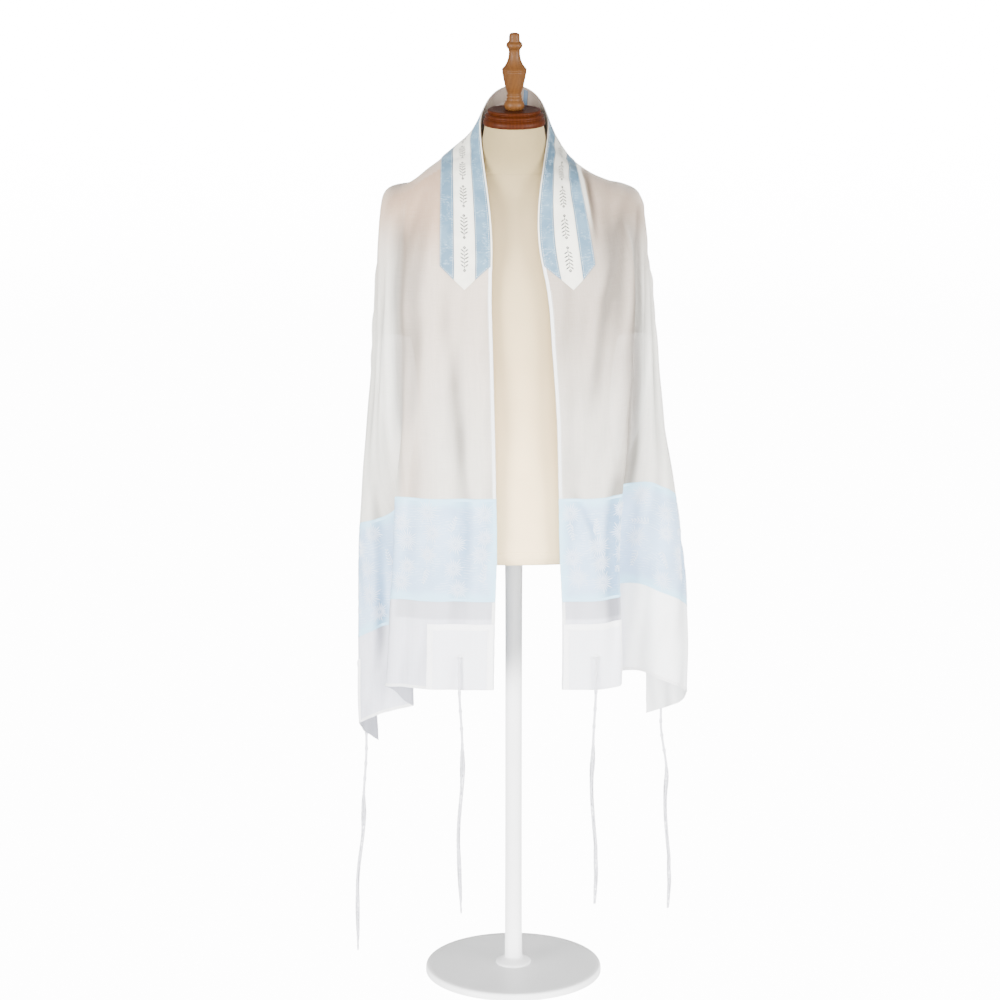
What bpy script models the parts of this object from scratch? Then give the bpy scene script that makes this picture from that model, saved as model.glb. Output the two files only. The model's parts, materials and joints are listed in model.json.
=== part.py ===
"""Tallit prayer shawl draped over a limbless dress form on a round stand.

Frame: metres, +Z up, the front of the form faces -Y, the origin is the middle
of the base's underside.  LEFT is the -X side and RIGHT the +X side, as seen
from the front.

The shawl is one long rectangle of cloth.  A point of the cloth has two
coordinates: s, the distance along the shawl from the middle of the back
(0 at the nape, HALF_LENGTH at either end), and t, the distance across it
(0 at the neck edge, CLOTH_WIDTH at the outer edge).  Every sewn piece is a
range of s and t on the same draped surface.
"""

import math

import bmesh
import bpy
import numpy as np

LEFT, RIGHT = -1, 1
SIDE_NAMES = {LEFT: "left", RIGHT: "right"}

# ---------------------------------------------------------------- cloth cut
HALF_LENGTH = 1.065        # nape to one end, along the neck edge
CLOTH_WIDTH = 0.480        # neck edge to outer edge
BAND_HEIGHT = 0.170        # embroidered band, measured along the shawl
END_DEPTH = 0.149          # plain end panel below the band
PATCH_SIZE = 0.110         # square corner patch
PATCH_INSET = 0.0015       # patch edge to the cloth's edge
CLOTH_WALL = 0.0010
TRIM_WALL = 0.0010         # patches and neck-band strips
SEAM_GAP = 0.0006
LIE_GAP = 0.0006           # between a panel and what is sewn on it

BAND_TOP_S = HALF_LENGTH - END_DEPTH - BAND_HEIGHT
BAND_BOTTOM_S = HALF_LENGTH - END_DEPTH

# Neck band: three strips side by side, pointed at both ends.
NECK_BAND_SHOULDER_S = 0.372   # where the sides turn in towards the point
NECK_BAND_TIP_S = 0.409
NECK_BAND_EDGES = (0.003, 0.0265, 0.0605, 0.084)   # t of the strips' edges

# ------------------------------------------------------------- draped sizes
# Centre-back line of the cloth: distance down from the collar's top edge.
BACK_COLUMNS = ("down", "y", "z")
BACK_LINE = (
    (0.000, 0.074, 1.498),
    (0.050, 0.079, 1.447),
    (0.100, 0.098, 1.401),
    (0.160, 0.124, 1.347),
    (0.240, 0.141, 1.269),
    (0.340, 0.148, 1.170),
    (0.480, 0.150, 1.030),
)

# Crest of the drape: from the neck's side out along the shoulder, over its
# tip and down the side.  reach is how far in front of the crest the cloth
# comes to hang plumb, and run the length of cloth that this takes.
CREST_COLUMNS = ("t", "left_x", "left_z", "right_x", "right_z", "y", "reach", "run")
CREST = (
    (0.000, 0.054, 1.436, 0.054, 1.438, 0.018, 0.141, 0.265),
    (0.035, 0.077, 1.405, 0.070, 1.407, 0.019, 0.142, 0.260),
    (0.070, 0.107, 1.388, 0.091, 1.380, 0.020, 0.142, 0.255),
    (0.115, 0.142, 1.363, 0.126, 1.357, 0.020, 0.140, 0.250),
    (0.165, 0.181, 1.336, 0.172, 1.338, 0.020, 0.125, 0.240),
    (0.195, 0.207, 1.325, 0.199, 1.326, 0.021, 0.110, 0.230),
    (0.215, 0.217, 1.310, 0.210, 1.311, 0.022, 0.100, 0.225),
    (0.260, 0.221, 1.264, 0.215, 1.265, 0.028, 0.075, 0.210),
    (0.320, 0.227, 1.204, 0.224, 1.206, 0.040, 0.045, 0.200),
    (0.400, 0.233, 1.124, 0.234, 1.127, 0.058, 0.030, 0.225),
    (0.480, 0.238, 1.044, 0.241, 1.048, 0.074, 0.030, 0.240),
)

# Hanging cloth is plumb, so it falls by its own length.  At one s, the outer
# part hangs lower than the front edge, by this much.
EDGE_HEIGHT_PLUS_S = 1.590
DROP_COLUMNS = ("t", "left", "right")
DROP = (
    (0.000, 0.000, 0.000),
    (0.080, 0.001, 0.000),
    (0.120, 0.002, -0.005),
    (0.165, 0.002, -0.014),
    (0.205, 0.010, -0.016),
    (0.240, 0.034, -0.004),
    (0.330, 0.066, 0.034),
    (0.400, 0.098, 0.068),
    (0.480, 0.140, 0.100),
)

# How the cloth leaves the crest: share of the fall that runs forwards.
LEAVE_COLUMNS = ("t", "forward", "down")
LEAVE = (
    (0.000, 0.78, 0.62),
    (0.060, 0.97, 0.22),
    (0.165, 0.99, 0.10),
    (0.205, 0.93, 0.34),
    (0.260, 0.62, 0.78),
    (0.340, 0.36, 0.93),
    (0.480, 0.25, 0.97),
)

# Hanging cloth seen from above, by height: how far it stands out to each
# side and in front, and how far behind the middle its outer edge lies.
HANG_COLUMNS = ("z", "left", "right", "front", "edge_left", "edge_right")
HANG_RINGS = (
    (0.322, 0.256, 0.290, 0.118, 0.110, 0.128),
    (0.482, 0.259, 0.291, 0.121, 0.109, 0.126),
    (0.592, 0.260, 0.290, 0.124, 0.108, 0.124),
    (0.712, 0.259, 0.286, 0.127, 0.106, 0.120),
    (0.842, 0.257, 0.270, 0.129, 0.102, 0.114),
    (0.932, 0.250, 0.254, 0.130, 0.096, 0.106),
    (1.072, 0.236, 0.237, 0.130, 0.088, 0.094),
    (1.222, 0.225, 0.222, 0.121, 0.084, 0.088),
    (1.322, 0.216, 0.211, 0.105, 0.084, 0.086),
)
FRONT_ROUNDNESS = 2.3
BACK_ROUNDNESS = 2.0
BACK_DEPTH = 0.170

# Front edges of the shawl, by height.
EDGE_COLUMNS = ("z", "left_x", "right_x")
FRONT_EDGES = (
    (0.522, 0.033, 0.078),
    (0.672, 0.030, 0.077),
    (0.732, 0.028, 0.074),
    (0.857, 0.029, 0.071),
    (1.002, 0.032, 0.066),
    (1.082, 0.034, 0.060),
    (1.182, 0.036, 0.051),
    (1.227, 0.035, 0.042),
    (1.279, 0.035, 0.035),
    (1.342, 0.038, 0.035),
)

# Main pleat of the hanging cloth on each side.  at is how far round from the
# front edge it lies at its top and at the hem; net is the room it takes, step
# how far the cloth behind it is set back, lap how far the front layer covers
# it, and relax how soon the cloth comes forward again.  It grows from
# s = begins to s = full.
PLEAT_COLUMNS = ("side", "at_top", "at_hem", "net", "step", "lap", "relax", "begins", "full")
PLEATS = (
    (LEFT, 0.160, 0.172, 0.045, 0.046, 0.030, 0.090, 0.50, 0.96),
    (RIGHT, 0.134, 0.094, 0.034, 0.050, 0.015, 0.110, 0.44, 0.94),
)

# Soft upright waves at the side take up the rest of the cloth's width: they
# are as deep as that needs.  Each is a share of the way from the pleat's end
# to the outer edge.
SIDE_WAVES = {LEFT: (0.72, 0.99), RIGHT: (0.69, 0.96)}
SIDE_WAVE_WIDTH = 0.11          # half-width of one, as a share of that way
DEEPEST_WAVE = 0.030
WAVES_FROM_S, WAVES_FULL_S = 0.45, 0.80

# Soft waves of the hanging back, by the share of the way from the centre
# to the side; depth is at the outer edge, and each fades out upwards.
BACK_WAVE_COLUMNS = ("side", "share", "width", "depth", "fades_at")
BACK_WAVES = (
    (LEFT, 0.16, 0.084, 0.020, 0.16),
    (LEFT, 0.42, 0.076, 0.024, 0.20),
    (LEFT, 0.68, 0.071, 0.018, 0.24),
    (RIGHT, 0.22, 0.092, 0.022, 0.18),
    (RIGHT, 0.50, 0.076, 0.019, 0.22),
    (RIGHT, 0.75, 0.063, 0.022, 0.26),
)
BACK_PULL = 1.12           # end pull of the back's curve, in chords
BEND_LENGTH = 1.045        # cloth over the front bend, in straight lengths
BISECTIONS = 22

# ---------------------------------------------------------------- dress form
FORM_COLUMNS = ("z", "half_width", "front", "back", "roundness")
FORM_SECTIONS = (
    (0.730, 0.172, 0.104, 0.108, 2.3),
    (0.734, 0.176, 0.107, 0.111, 2.3),
    (0.782, 0.180, 0.110, 0.116, 2.3),
    (0.872, 0.172, 0.108, 0.112, 2.3),
    (0.962, 0.158, 0.103, 0.100, 2.3),
    (1.052, 0.163, 0.107, 0.104, 2.3),
    (1.132, 0.178, 0.109, 0.112, 2.3),
    (1.202, 0.192, 0.102, 0.118, 2.3),
    (1.257, 0.198, 0.086, 0.114, 2.3),
    (1.292, 0.198, 0.072, 0.106, 2.3),
    (1.308, 0.192, 0.065, 0.100, 2.2),
    (1.320, 0.176, 0.060, 0.095, 2.2),
    (1.334, 0.146, 0.057, 0.089, 2.1),
    (1.350, 0.114, 0.054, 0.082, 2.0),
    (1.366, 0.086, 0.052, 0.074, 2.0),
    (1.384, 0.067, 0.049, 0.066, 2.0),
    (1.404, 0.055, 0.047, 0.057, 2.0),
    (1.422, 0.050, 0.0465, 0.051, 2.0),
    (1.4365, 0.0475, 0.0465, 0.0480, 2.0),
)
FORM_SIDES = 36
NECK_TILT = math.radians(4.0)    # the neck's top leans forward
NECK_TOP_Z = FORM_SECTIONS[-1][0]
NECK_TILT_FROM_Z = 1.384

# Neck cap, radius and height above its own underside.
CAP_COLUMNS = ("radius", "height")
CAP_PROFILE = (
    (0.0050, 0.0235),
    (0.0330, 0.0235),
    (0.0365, 0.0215),
    (0.0380, 0.0195),
    (0.0425, 0.0185),
    (0.0440, 0.0165),
    (0.0445, 0.0140),
    (0.0475, 0.0120),
    (0.0485, 0.0100),
    (0.0485, 0.0085),
    (0.0500, 0.0070),
    (0.0502, 0.0035),
    (0.0495, 0.0000),
)
FINIAL_COLUMNS = ("radius", "height")
FINIAL_PROFILE = (
    (0.0035, 0.1225),
    (0.0062, 0.1212),
    (0.0072, 0.1180),
    (0.0086, 0.1135),
    (0.0095, 0.1105),
    (0.0121, 0.1070),
    (0.0124, 0.1040),
    (0.0110, 0.1000),
    (0.0090, 0.0958),
    (0.0086, 0.0900),
    (0.0106, 0.0815),
    (0.0130, 0.0746),
    (0.0172, 0.0680),
    (0.0193, 0.0648),
    (0.0191, 0.0612),
    (0.0181, 0.0570),
    (0.0163, 0.0480),
    (0.0140, 0.0388),
    (0.0115, 0.0311),
    (0.0106, 0.0256),
    (0.0118, 0.0225),
    (0.0118, 0.0185),
    (0.0143, 0.0150),
    (0.0156, 0.0090),
    (0.0140, 0.0030),
    (0.0132, 0.0000),
)
TURNED_STEPS = 18

# --------------------------------------------------------------------- stand
BASE_RADIUS = 0.150
BASE_THICKNESS = 0.012
BASE_SIDES = 40
POLE_RADIUS = 0.014
FLANGE_RADIUS = 0.030
FLANGE_HEIGHT = 0.010
STAND_GAP = 0.0003

# ------------------------------------------------------------------- tassels
# Each hangs from an eyelet in a corner patch: the wound cord lies on the
# patch, passes the hem and opens into loose strands.  inset is the eyelet's
# distance from both edges, lean how far the free part stands to its right.
TASSEL_COLUMNS = ("side", "corner", "inset", "wound", "tip_z", "sway", "lean", "tip_drift")
TASSELS = (
    (LEFT, "inner", 0.056, 0.150, 0.140, 0.0045, 0.005, -0.006),
    (RIGHT, "inner", 0.056, 0.145, 0.156, 0.0040, -0.004, 0.003),
    (LEFT, "outer", 0.030, 0.135, 0.009, 0.0050, -0.004, -0.018),
    (RIGHT, "outer", 0.030, 0.130, 0.074, 0.0040, 0.011, 0.004),
)
CORD_RADIUS = 0.0021
KNOT_RADIUS = 0.0032
KNOTS = 5
STRAND_HALF = 0.00062
STRAND_SPREAD = 0.0030
STRAND_SEGMENTS = 7
CORD_SEGMENTS = 15
CORD_STANDOFF = 0.0036

# ------------------------------------------------------------------ mesh grid
T_LINES = (
    0.000, 0.0265, 0.0435, 0.0605, 0.0840, 0.1115, 0.130, 0.148, 0.166, 0.184, 0.202, 0.220,
    0.238, 0.256, 0.274, 0.292, 0.310, 0.329, 0.3485, 0.3685, 0.392, 0.418, 0.448, 0.480,
)
# The main panel's lines across: stretches of s with their number of steps.
STRETCHES = (
    (0.180, 10),
    (NECK_BAND_SHOULDER_S - SEAM_GAP * 6, 6),
    (NECK_BAND_TIP_S, 1),
    (BAND_TOP_S - SEAM_GAP / 2, 10),
)
BAND_STEPS = 6
END_STEPS = 6

MATERIALS = {
    # name: (base colour, roughness, metallic)
    "sheer_white": ((0.86, 0.86, 0.86), 0.70, 0.0),
    "pale_blue": ((0.60, 0.74, 0.86), 0.60, 0.0),
    "opaque_white": ((0.90, 0.90, 0.91), 0.65, 0.0),
    "linen": ((0.78, 0.70, 0.58), 0.85, 0.0),
    "dark_wood": ((0.24, 0.07, 0.025), 0.30, 0.0),
    "honey_wood": ((0.46, 0.20, 0.07), 0.32, 0.0),
    "stand_white": ((0.88, 0.88, 0.87), 0.45, 0.0),
}


def column(table, names, name):
    """Return one named column of a table as an array."""
    return np.array([row[names.index(name)] for row in table], float)


def through(knots, values, at):
    """Smooth curve (cubic Hermite) through a table's values."""
    slopes = np.gradient(values, knots)
    at = np.clip(at, knots[0], knots[-1])
    i = np.clip(np.searchsorted(knots, at, side="right") - 1, 0, len(knots) - 2)
    gap = knots[i + 1] - knots[i]
    u = (at - knots[i]) / gap
    start = values[i] * (1 + 2 * u) * (1 - u) ** 2 + slopes[i] * gap * u * (1 - u) ** 2
    end = values[i + 1] * u * u * (3 - 2 * u) + slopes[i + 1] * gap * u * u * (u - 1)
    return start + end


def lookup(table, names, key, name, at):
    """Read a smooth curve through one column of a table, by another one."""
    return through(column(table, names, key), column(table, names, name), at)


def ease(low, high, value):
    """Rise smoothly from 0 at low to 1 at high."""
    u = np.clip((value - low) / (high - low), 0.0, 1.0)
    return u * u * (3 - 2 * u)


# ------------------------------------------------------------ draped surface
class Drape:
    """The shawl's middle surface on one side, from nape to end."""

    LEVELS = np.linspace(0.25, HALF_LENGTH, 60)
    AROUND = np.linspace(0.0, 0.50, 700)     # way round from the front edge

    def __init__(self, side):
        self.side = side
        self.name = SIDE_NAMES[side]
        self.across = np.linspace(0.0, CLOTH_WIDTH, 160)
        self.pleat = next(dict(zip(PLEAT_COLUMNS, row)) for row in PLEATS if row[0] == side)
        self.plans = np.array([self.hanging_plan(s) for s in self.LEVELS])

    def crest(self, t):
        """Point of the crest, with the cloth's s and run there."""
        x = self.side * lookup(CREST, CREST_COLUMNS, "t", self.name + "_x", t)
        y = lookup(CREST, CREST_COLUMNS, "t", "y", t)
        z = lookup(CREST, CREST_COLUMNS, "t", self.name + "_z", t)
        run = lookup(CREST, CREST_COLUMNS, "t", "run", t)
        reach = lookup(CREST, CREST_COLUMNS, "t", "reach", t)
        fall = np.sqrt((run / BEND_LENGTH) ** 2 - reach ** 2)
        start = self.plumb_height(0.0, t) - (z - fall) - run
        return np.stack([x, y, z], -1), start, run

    def plumb_height(self, s, t):
        """Height of hanging cloth: it falls by its own length."""
        return EDGE_HEIGHT_PLUS_S - s - lookup(DROP, DROP_COLUMNS, "t", self.name, t)

    def ring(self, z):
        """Plan outline at height z from the front edge round to the back.

        Returns x, y, the inward normals and the way round to the outer edge.
        """
        wide, front, edge_y = (
            float(lookup(HANG_RINGS, HANG_COLUMNS, "z", name, z))
            for name in (self.name, "front", "edge_" + self.name))
        edge_x = float(lookup(FRONT_EDGES, EDGE_COLUMNS, "z", self.name + "_x", z))
        angle = np.linspace(0.0, 0.97 * math.pi, 900)
        ahead = np.cos(angle) > 0
        x = wide * np.sin(angle) ** np.where(ahead, 2 / FRONT_ROUNDNESS, 2 / BACK_ROUNDNESS)
        depth = np.where(ahead, -front, BACK_DEPTH)
        y = depth * np.abs(np.cos(angle)) ** np.where(
            ahead, 2 / FRONT_ROUNDNESS, 2 / BACK_ROUNDNESS)
        first = np.searchsorted(x[:400], edge_x)
        x, y = x[first:], y[first:]
        way = np.concatenate([[0], np.cumsum(np.hypot(np.diff(x), np.diff(y)))])
        x, y, outer = np.interp(self.AROUND, way, x), np.interp(self.AROUND, way, y), \
            np.interp(edge_y, y, way)
        run_x, run_y = np.gradient(x), np.gradient(y)
        size = np.hypot(run_x, run_y)
        return x, y, -run_y / size, run_x / size, float(outer)

    def pleated(self, grown):
        """Way round and inward set of the cloth where the main pleat lies."""
        pleat = self.pleat
        at = pleat["at_top"] + (pleat["at_hem"] - pleat["at_top"]) * grown
        share = (self.AROUND - at) / pleat["net"] + 0.5
        inside = (share > 0) & (share < 1)
        swing = np.where(inside, np.sin(2 * math.pi * share), 0.0)
        along = self.AROUND + pleat["lap"] * grown * swing
        relaxed = 1.0 + pleat["relax"] / pleat["net"]
        inward = pleat["step"] * grown * ease(0.12, 0.88, share) * (1 - ease(1.0, relaxed, share))
        return along, inward, at + pleat["net"] / 2

    def hanging_plan(self, s):
        """Plan position of every t at one s, with pleat and side waves."""
        x, y, normal_x, normal_y, outer = self.ring(float(self.plumb_height(s, np.array(0.0))))
        grown = float(ease(self.pleat["begins"], self.pleat["full"], s))
        along, inward, clear = self.pleated(grown)
        share = (self.AROUND - clear) / (outer - clear)
        wave = sum(np.exp(-((share - at) / SIDE_WAVE_WIDTH) ** 2)
                   for at in SIDE_WAVES[self.side])
        height = self.plumb_height(s, self.across)
        slope = np.gradient(height, self.across)
        level = np.sqrt(1 - np.minimum(slope ** 2, 0.9))
        steps = np.diff(self.across) * (level[1:] + level[:-1]) / 2
        width = np.concatenate([[0], np.cumsum(steps)])

        def laid(depth):
            """Plan points and way along them for waves of one depth."""
            inset = inward + depth * wave
            px = np.interp(along, self.AROUND, x) + np.interp(along, self.AROUND, normal_x) * inset
            py = np.interp(along, self.AROUND, y) + np.interp(along, self.AROUND, normal_y) * inset
            way = np.concatenate([[0], np.cumsum(np.hypot(np.diff(px), np.diff(py)))])
            return px, py, way

        shallow, deep = 0.0, DEEPEST_WAVE * float(ease(WAVES_FROM_S, WAVES_FULL_S, s))
        for _ in range(BISECTIONS):
            middle = (shallow + deep) / 2
            if np.interp(outer, self.AROUND, laid(middle)[2]) < width[-1]:
                shallow = middle
            else:
                deep = middle
        px, py, way = laid(shallow)
        passed, end = np.interp(clear, self.AROUND, way), np.interp(outer, self.AROUND, way)
        if end < width[-1]:
            eased = passed + (width - passed) * (end - passed) / (width[-1] - passed)
            width = np.where(width > passed, eased, width)
        return np.stack([np.interp(width, way, px), np.interp(width, way, py)], -1)

    def plan(self, s, t):
        """Plan position of hanging cloth, read between the levels."""
        level_gap = self.LEVELS[1] - self.LEVELS[0]
        row = np.clip((s - self.LEVELS[0]) / level_gap, 0, len(self.LEVELS) - 1.001)
        col = np.clip(t / (self.across[1] - self.across[0]), 0, len(self.across) - 1.001)
        i, j = row.astype(int), col.astype(int)
        u, v = (row - i)[..., None], (col - j)[..., None]
        near = self.plans[i, j] * (1 - v) + self.plans[i, j + 1] * v
        far = self.plans[i + 1, j] * (1 - v) + self.plans[i + 1, j + 1] * v
        return near * (1 - u) + far * u

    def hanging(self, s, t):
        """Point of the cloth where it hangs plumb."""
        plan = self.plan(s, t)
        return np.stack([self.side * plan[..., 0], plan[..., 1], self.plumb_height(s, t)], -1)

    def leaving(self, t):
        """Direction in which the cloth crosses the crest."""
        forward = lookup(LEAVE, LEAVE_COLUMNS, "t", "forward", t)
        down = lookup(LEAVE, LEAVE_COLUMNS, "t", "down", t)
        return np.stack([0 * t, -forward, -down], -1)

    def points(self, s, t):
        """Middle surface of the cloth at s and t (arrays of one shape)."""
        s, t = np.broadcast_arrays(np.asarray(s, float), np.asarray(t, float))
        crest, start, run = self.crest(t)
        leave = self.leaving(t)
        front = self.over_the_front(s, t, crest, start, run, leave)
        back = self.round_the_back(s, t, crest, start, leave)
        return np.where((s < start)[..., None], back, front)

    def over_the_front(self, s, t, crest, start, run, leave):
        """From the crest down to the plumb line, and on down to the end."""
        plumb = start + run
        landing = self.hanging(plumb, t)
        below = self.hanging(plumb + 0.02, t)
        u = np.clip((s - start) / run, 0.0, 1.0)
        pull = run[..., None]
        bend = hermite(u, crest, leave * pull, landing, (below - landing) / 0.02 * pull)
        return np.where((s > plumb)[..., None], self.hanging(s, t), bend)

    def round_the_back(self, s, t, crest, start, leave):
        """From the centre-back line round to the crest, with soft waves."""
        y = lookup(BACK_LINE, BACK_COLUMNS, "down", "y", t)
        z = lookup(BACK_LINE, BACK_COLUMNS, "down", "z", t)
        centre = np.stack([0 * t, y, z], -1)
        u = np.clip(s / start, 0.0, 1.0)
        chord = np.linalg.norm(crest - centre, axis=-1)[..., None] * BACK_PULL
        outward = np.zeros_like(centre)
        outward[..., 0] = self.side
        surface = hermite(u, centre, outward * chord, crest, leave * chord)
        wave = np.zeros_like(t)
        for row in BACK_WAVES:
            fold = dict(zip(BACK_WAVE_COLUMNS, row))
            if fold["side"] == self.side:
                hump = np.exp(-((u - fold["share"]) / fold["width"]) ** 2)
                wave = wave + fold["depth"] * hump * ease(fold["fades_at"], CLOTH_WIDTH, t)
        wave = wave * (1 - ease(0.85, 1.0, u))
        surface[..., 1] += wave
        return surface


def hermite(u, start, start_pull, end, end_pull):
    """Cubic curve from start to end with the given end tangents."""
    u = u[..., None]
    opening = start * (1 + 2 * u) * (1 - u) ** 2 + start_pull * u * (1 - u) ** 2
    closing = end * u * u * (3 - 2 * u) + end_pull * u * u * (u - 1)
    return opening + closing


DRAPES = {LEFT: Drape(LEFT), RIGHT: Drape(RIGHT)}


def shawl_points(signed_s, t):
    """Cloth points: negative s runs to the left end, positive to the right."""
    signed_s, t = np.broadcast_arrays(np.asarray(signed_s, float), np.asarray(t, float))
    left = DRAPES[LEFT].points(np.abs(signed_s), t)
    right = DRAPES[RIGHT].points(np.abs(signed_s), t)
    return np.where((signed_s < 0)[..., None], left, right)


# --------------------------------------------------------------- mesh helpers
def new_collection(name):
    """Make a collection in the scene."""
    made = bpy.data.collections.new(name)
    bpy.context.scene.collection.children.link(made)
    return made


def make_material(name):
    """Make one Principled BSDF material from the table."""
    colour, roughness, metallic = MATERIALS[name]
    material = bpy.data.materials.new(name)
    material.use_nodes = True
    shader = material.node_tree.nodes["Principled BSDF"]
    shader.inputs["Base Color"].default_value = (*colour, 1.0)
    shader.inputs["Roughness"].default_value = roughness
    shader.inputs["Metallic"].default_value = metallic
    return material


def add_object(name, mesh, collection, material):
    """Link a mesh as a named object with its own copy of a material."""
    thing = bpy.data.objects.new(name, mesh)
    finish = make_material(material)
    finish.name = name + "_" + material
    mesh.materials.append(finish)
    collection.objects.link(thing)
    return thing


def mesh_from(name, vertices, faces):
    """Smooth-shaded mesh from arrays."""
    mesh = bpy.data.meshes.new(name)
    mesh.from_pydata([tuple(v) for v in vertices], [], [tuple(f) for f in faces])
    mesh.shade_smooth()
    return mesh


def grid_faces(rows, columns):
    """Triangles of a grid of points, all with the same diagonal."""
    i, j = np.meshgrid(np.arange(rows - 1), np.arange(columns - 1), indexing="ij")
    a = (i * columns + j).ravel()
    b, c, d = a + 1, a + columns + 1, a + columns
    return np.concatenate([np.stack([a, d, c], -1), np.stack([a, c, b], -1)])


def cloth_panel(name, grid, wall, material, collection):
    """Open surface through a grid of points, thickened both ways."""
    rows, columns = grid.shape[:2]
    mesh = mesh_from(name, grid.reshape(-1, 3), grid_faces(rows, columns))
    panel = add_object(name, mesh, collection, material)
    solidify = panel.modifiers.new("wall", "SOLIDIFY")
    solidify.thickness = wall
    solidify.offset = 0.0
    solidify.use_even_offset = False
    solidify.use_rim = True
    return panel


def outward_normals(grid):
    """Unit normals of a grid of cloth points, away from the form."""
    along = np.gradient(grid, axis=0)
    across = np.gradient(grid, axis=1)
    normal = np.cross(along, across)
    normal /= np.linalg.norm(normal, axis=-1, keepdims=True)
    return normal


class Panel:
    """A grid of cloth points with its own s and t lines."""

    def __init__(self, s_lines, t_lines):
        self.s, self.t = np.asarray(s_lines, float), np.asarray(t_lines, float)
        self.grid = shawl_points(self.s[:, None], self.t[None, :])
        self.normals = outward_normals(self.grid)

    def on_top(self, s, t, lift):
        """Points that lie on this panel's faces, moved out by lift."""
        row = np.interp(s, self.s, np.arange(len(self.s)))
        col = np.interp(t, self.t, np.arange(len(self.t)))
        i = np.clip(row.astype(int), 0, len(self.s) - 2)
        j = np.clip(col.astype(int), 0, len(self.t) - 2)
        u, v = (row - i)[..., None], (col - j)[..., None]
        lifted = self.grid + self.normals * lift
        a, b = lifted[i, j], lifted[i, j + 1]
        c, d = lifted[i + 1, j + 1], lifted[i + 1, j]
        return np.where(v <= u, a + u * (d - a) + v * (c - d), a + v * (b - a) + u * (c - b))


# ------------------------------------------------------------------ the shawl
def main_s_lines():
    """Lines across the main panel, closer together round the neck."""
    half = np.array([0.0])
    for reach, steps in STRETCHES:
        half = np.concatenate([half, np.linspace(half[-1], reach, steps + 1)[1:]])
    return np.concatenate([-half[:0:-1], half])


def build_main_panel(collection):
    """The long sheer panel, from band to band round the back of the neck."""
    panel = Panel(main_s_lines(), T_LINES)
    cloth_panel("shawl_main", panel.grid, CLOTH_WALL, "sheer_white", collection)
    return panel


def build_end_pieces(side, name, collection):
    """Embroidered band, end panel and two corner patches of one end."""
    half_gap = SEAM_GAP / 2
    band_s = np.linspace(BAND_TOP_S + half_gap, BAND_BOTTOM_S - half_gap, BAND_STEPS + 1)
    patch_top = HALF_LENGTH - PATCH_INSET - PATCH_SIZE
    end_s = np.concatenate([
        [BAND_BOTTOM_S + half_gap],
        np.linspace(patch_top, HALF_LENGTH - PATCH_INSET, END_STEPS - 1),
        [HALF_LENGTH]])
    order = slice(None, None, side)
    band = Panel((side * band_s)[order], T_LINES)
    end = Panel((side * end_s)[order], T_LINES)
    cloth_panel("band_" + name, band.grid, CLOTH_WALL, "pale_blue", collection)
    cloth_panel("end_panel_" + name, end.grid, CLOTH_WALL, "sheer_white", collection)
    lift = CLOTH_WALL / 2 + LIE_GAP + TRIM_WALL / 2
    patch_s = (side * end_s[1:-1])[order]
    lines = np.asarray(T_LINES)
    inner_t = lines[lines <= PATCH_SIZE + 2 * PATCH_INSET]
    outer_t = lines[lines >= CLOTH_WIDTH - PATCH_SIZE - 2 * PATCH_INSET]
    for corner, t_values in (("inner", inner_t), ("outer", outer_t)):
        t_values = np.clip(t_values, PATCH_INSET, CLOTH_WIDTH - PATCH_INSET)
        grid = end.on_top(patch_s[:, None] + 0 * t_values, t_values + 0 * patch_s[:, None], lift)
        label = "corner_patch_" + name + "_" + corner
        cloth_panel(label, grid, TRIM_WALL, "opaque_white", collection)
    return end


def build_neck_band(panel, collection):
    """Atarah: three strips along the neck edge, pointed at both ends."""
    first, second, third, fourth = NECK_BAND_EDGES
    middle = (first + fourth) / 2
    slope = (NECK_BAND_TIP_S - NECK_BAND_SHOULDER_S) / (middle - first)
    lift = CLOTH_WALL / 2 + LIE_GAP + TRIM_WALL / 2
    strips = (
        ("neck_band_inner", "pale_blue", (first, second - SEAM_GAP)),
        ("neck_band_centre", "opaque_white", (second, middle, third)),
        ("neck_band_outer", "pale_blue", (third + SEAM_GAP, fourth)),
    )
    inside = panel.s[np.abs(panel.s) < NECK_BAND_SHOULDER_S - SEAM_GAP]
    for name, material, t_values in strips:
        t_values = np.array(t_values)
        tips = NECK_BAND_TIP_S - slope * np.abs(t_values - middle)
        s_values = np.repeat(inside[:, None], len(t_values), axis=1)
        s_values = np.concatenate([-tips[None, :], s_values, tips[None, :]])
        t_grid = np.broadcast_to(t_values, s_values.shape)
        cloth_panel(name, panel.on_top(s_values, t_grid, lift), TRIM_WALL, material, collection)


# -------------------------------------------------------------------- tassels
def tassel_path(end, tassel):
    """Centre line of a tassel: eyelet, over the patch, then plumb down."""
    side, inset = tassel["side"], tassel["inset"]
    t = inset if tassel["corner"] == "inner" else CLOTH_WIDTH - inset
    s = side * (HALF_LENGTH - inset)
    lift = CLOTH_WALL / 2 + LIE_GAP + TRIM_WALL + CORD_STANDOFF
    start = end.on_top(np.array(s), np.array(t), lift)
    length = start[2] - tassel["tip_z"]
    fall = np.linspace(0.0, length, CORD_SEGMENTS + STRAND_SEGMENTS * 2)
    share = fall / length
    sway = tassel["sway"] * ease(0.30, 0.60, share)
    lean = tassel["lean"] * ease(0.05, 0.15, fall)
    x = start[0] + sway * np.sin(share * math.pi * 2.6 + side)
    x = x + lean + tassel["tip_drift"] * share ** 2
    y = start[1] + 0.4 * sway * np.sin(share * math.pi * 2 + 1)
    return fall, np.stack([x, y, start[2] - fall], -1)


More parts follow.
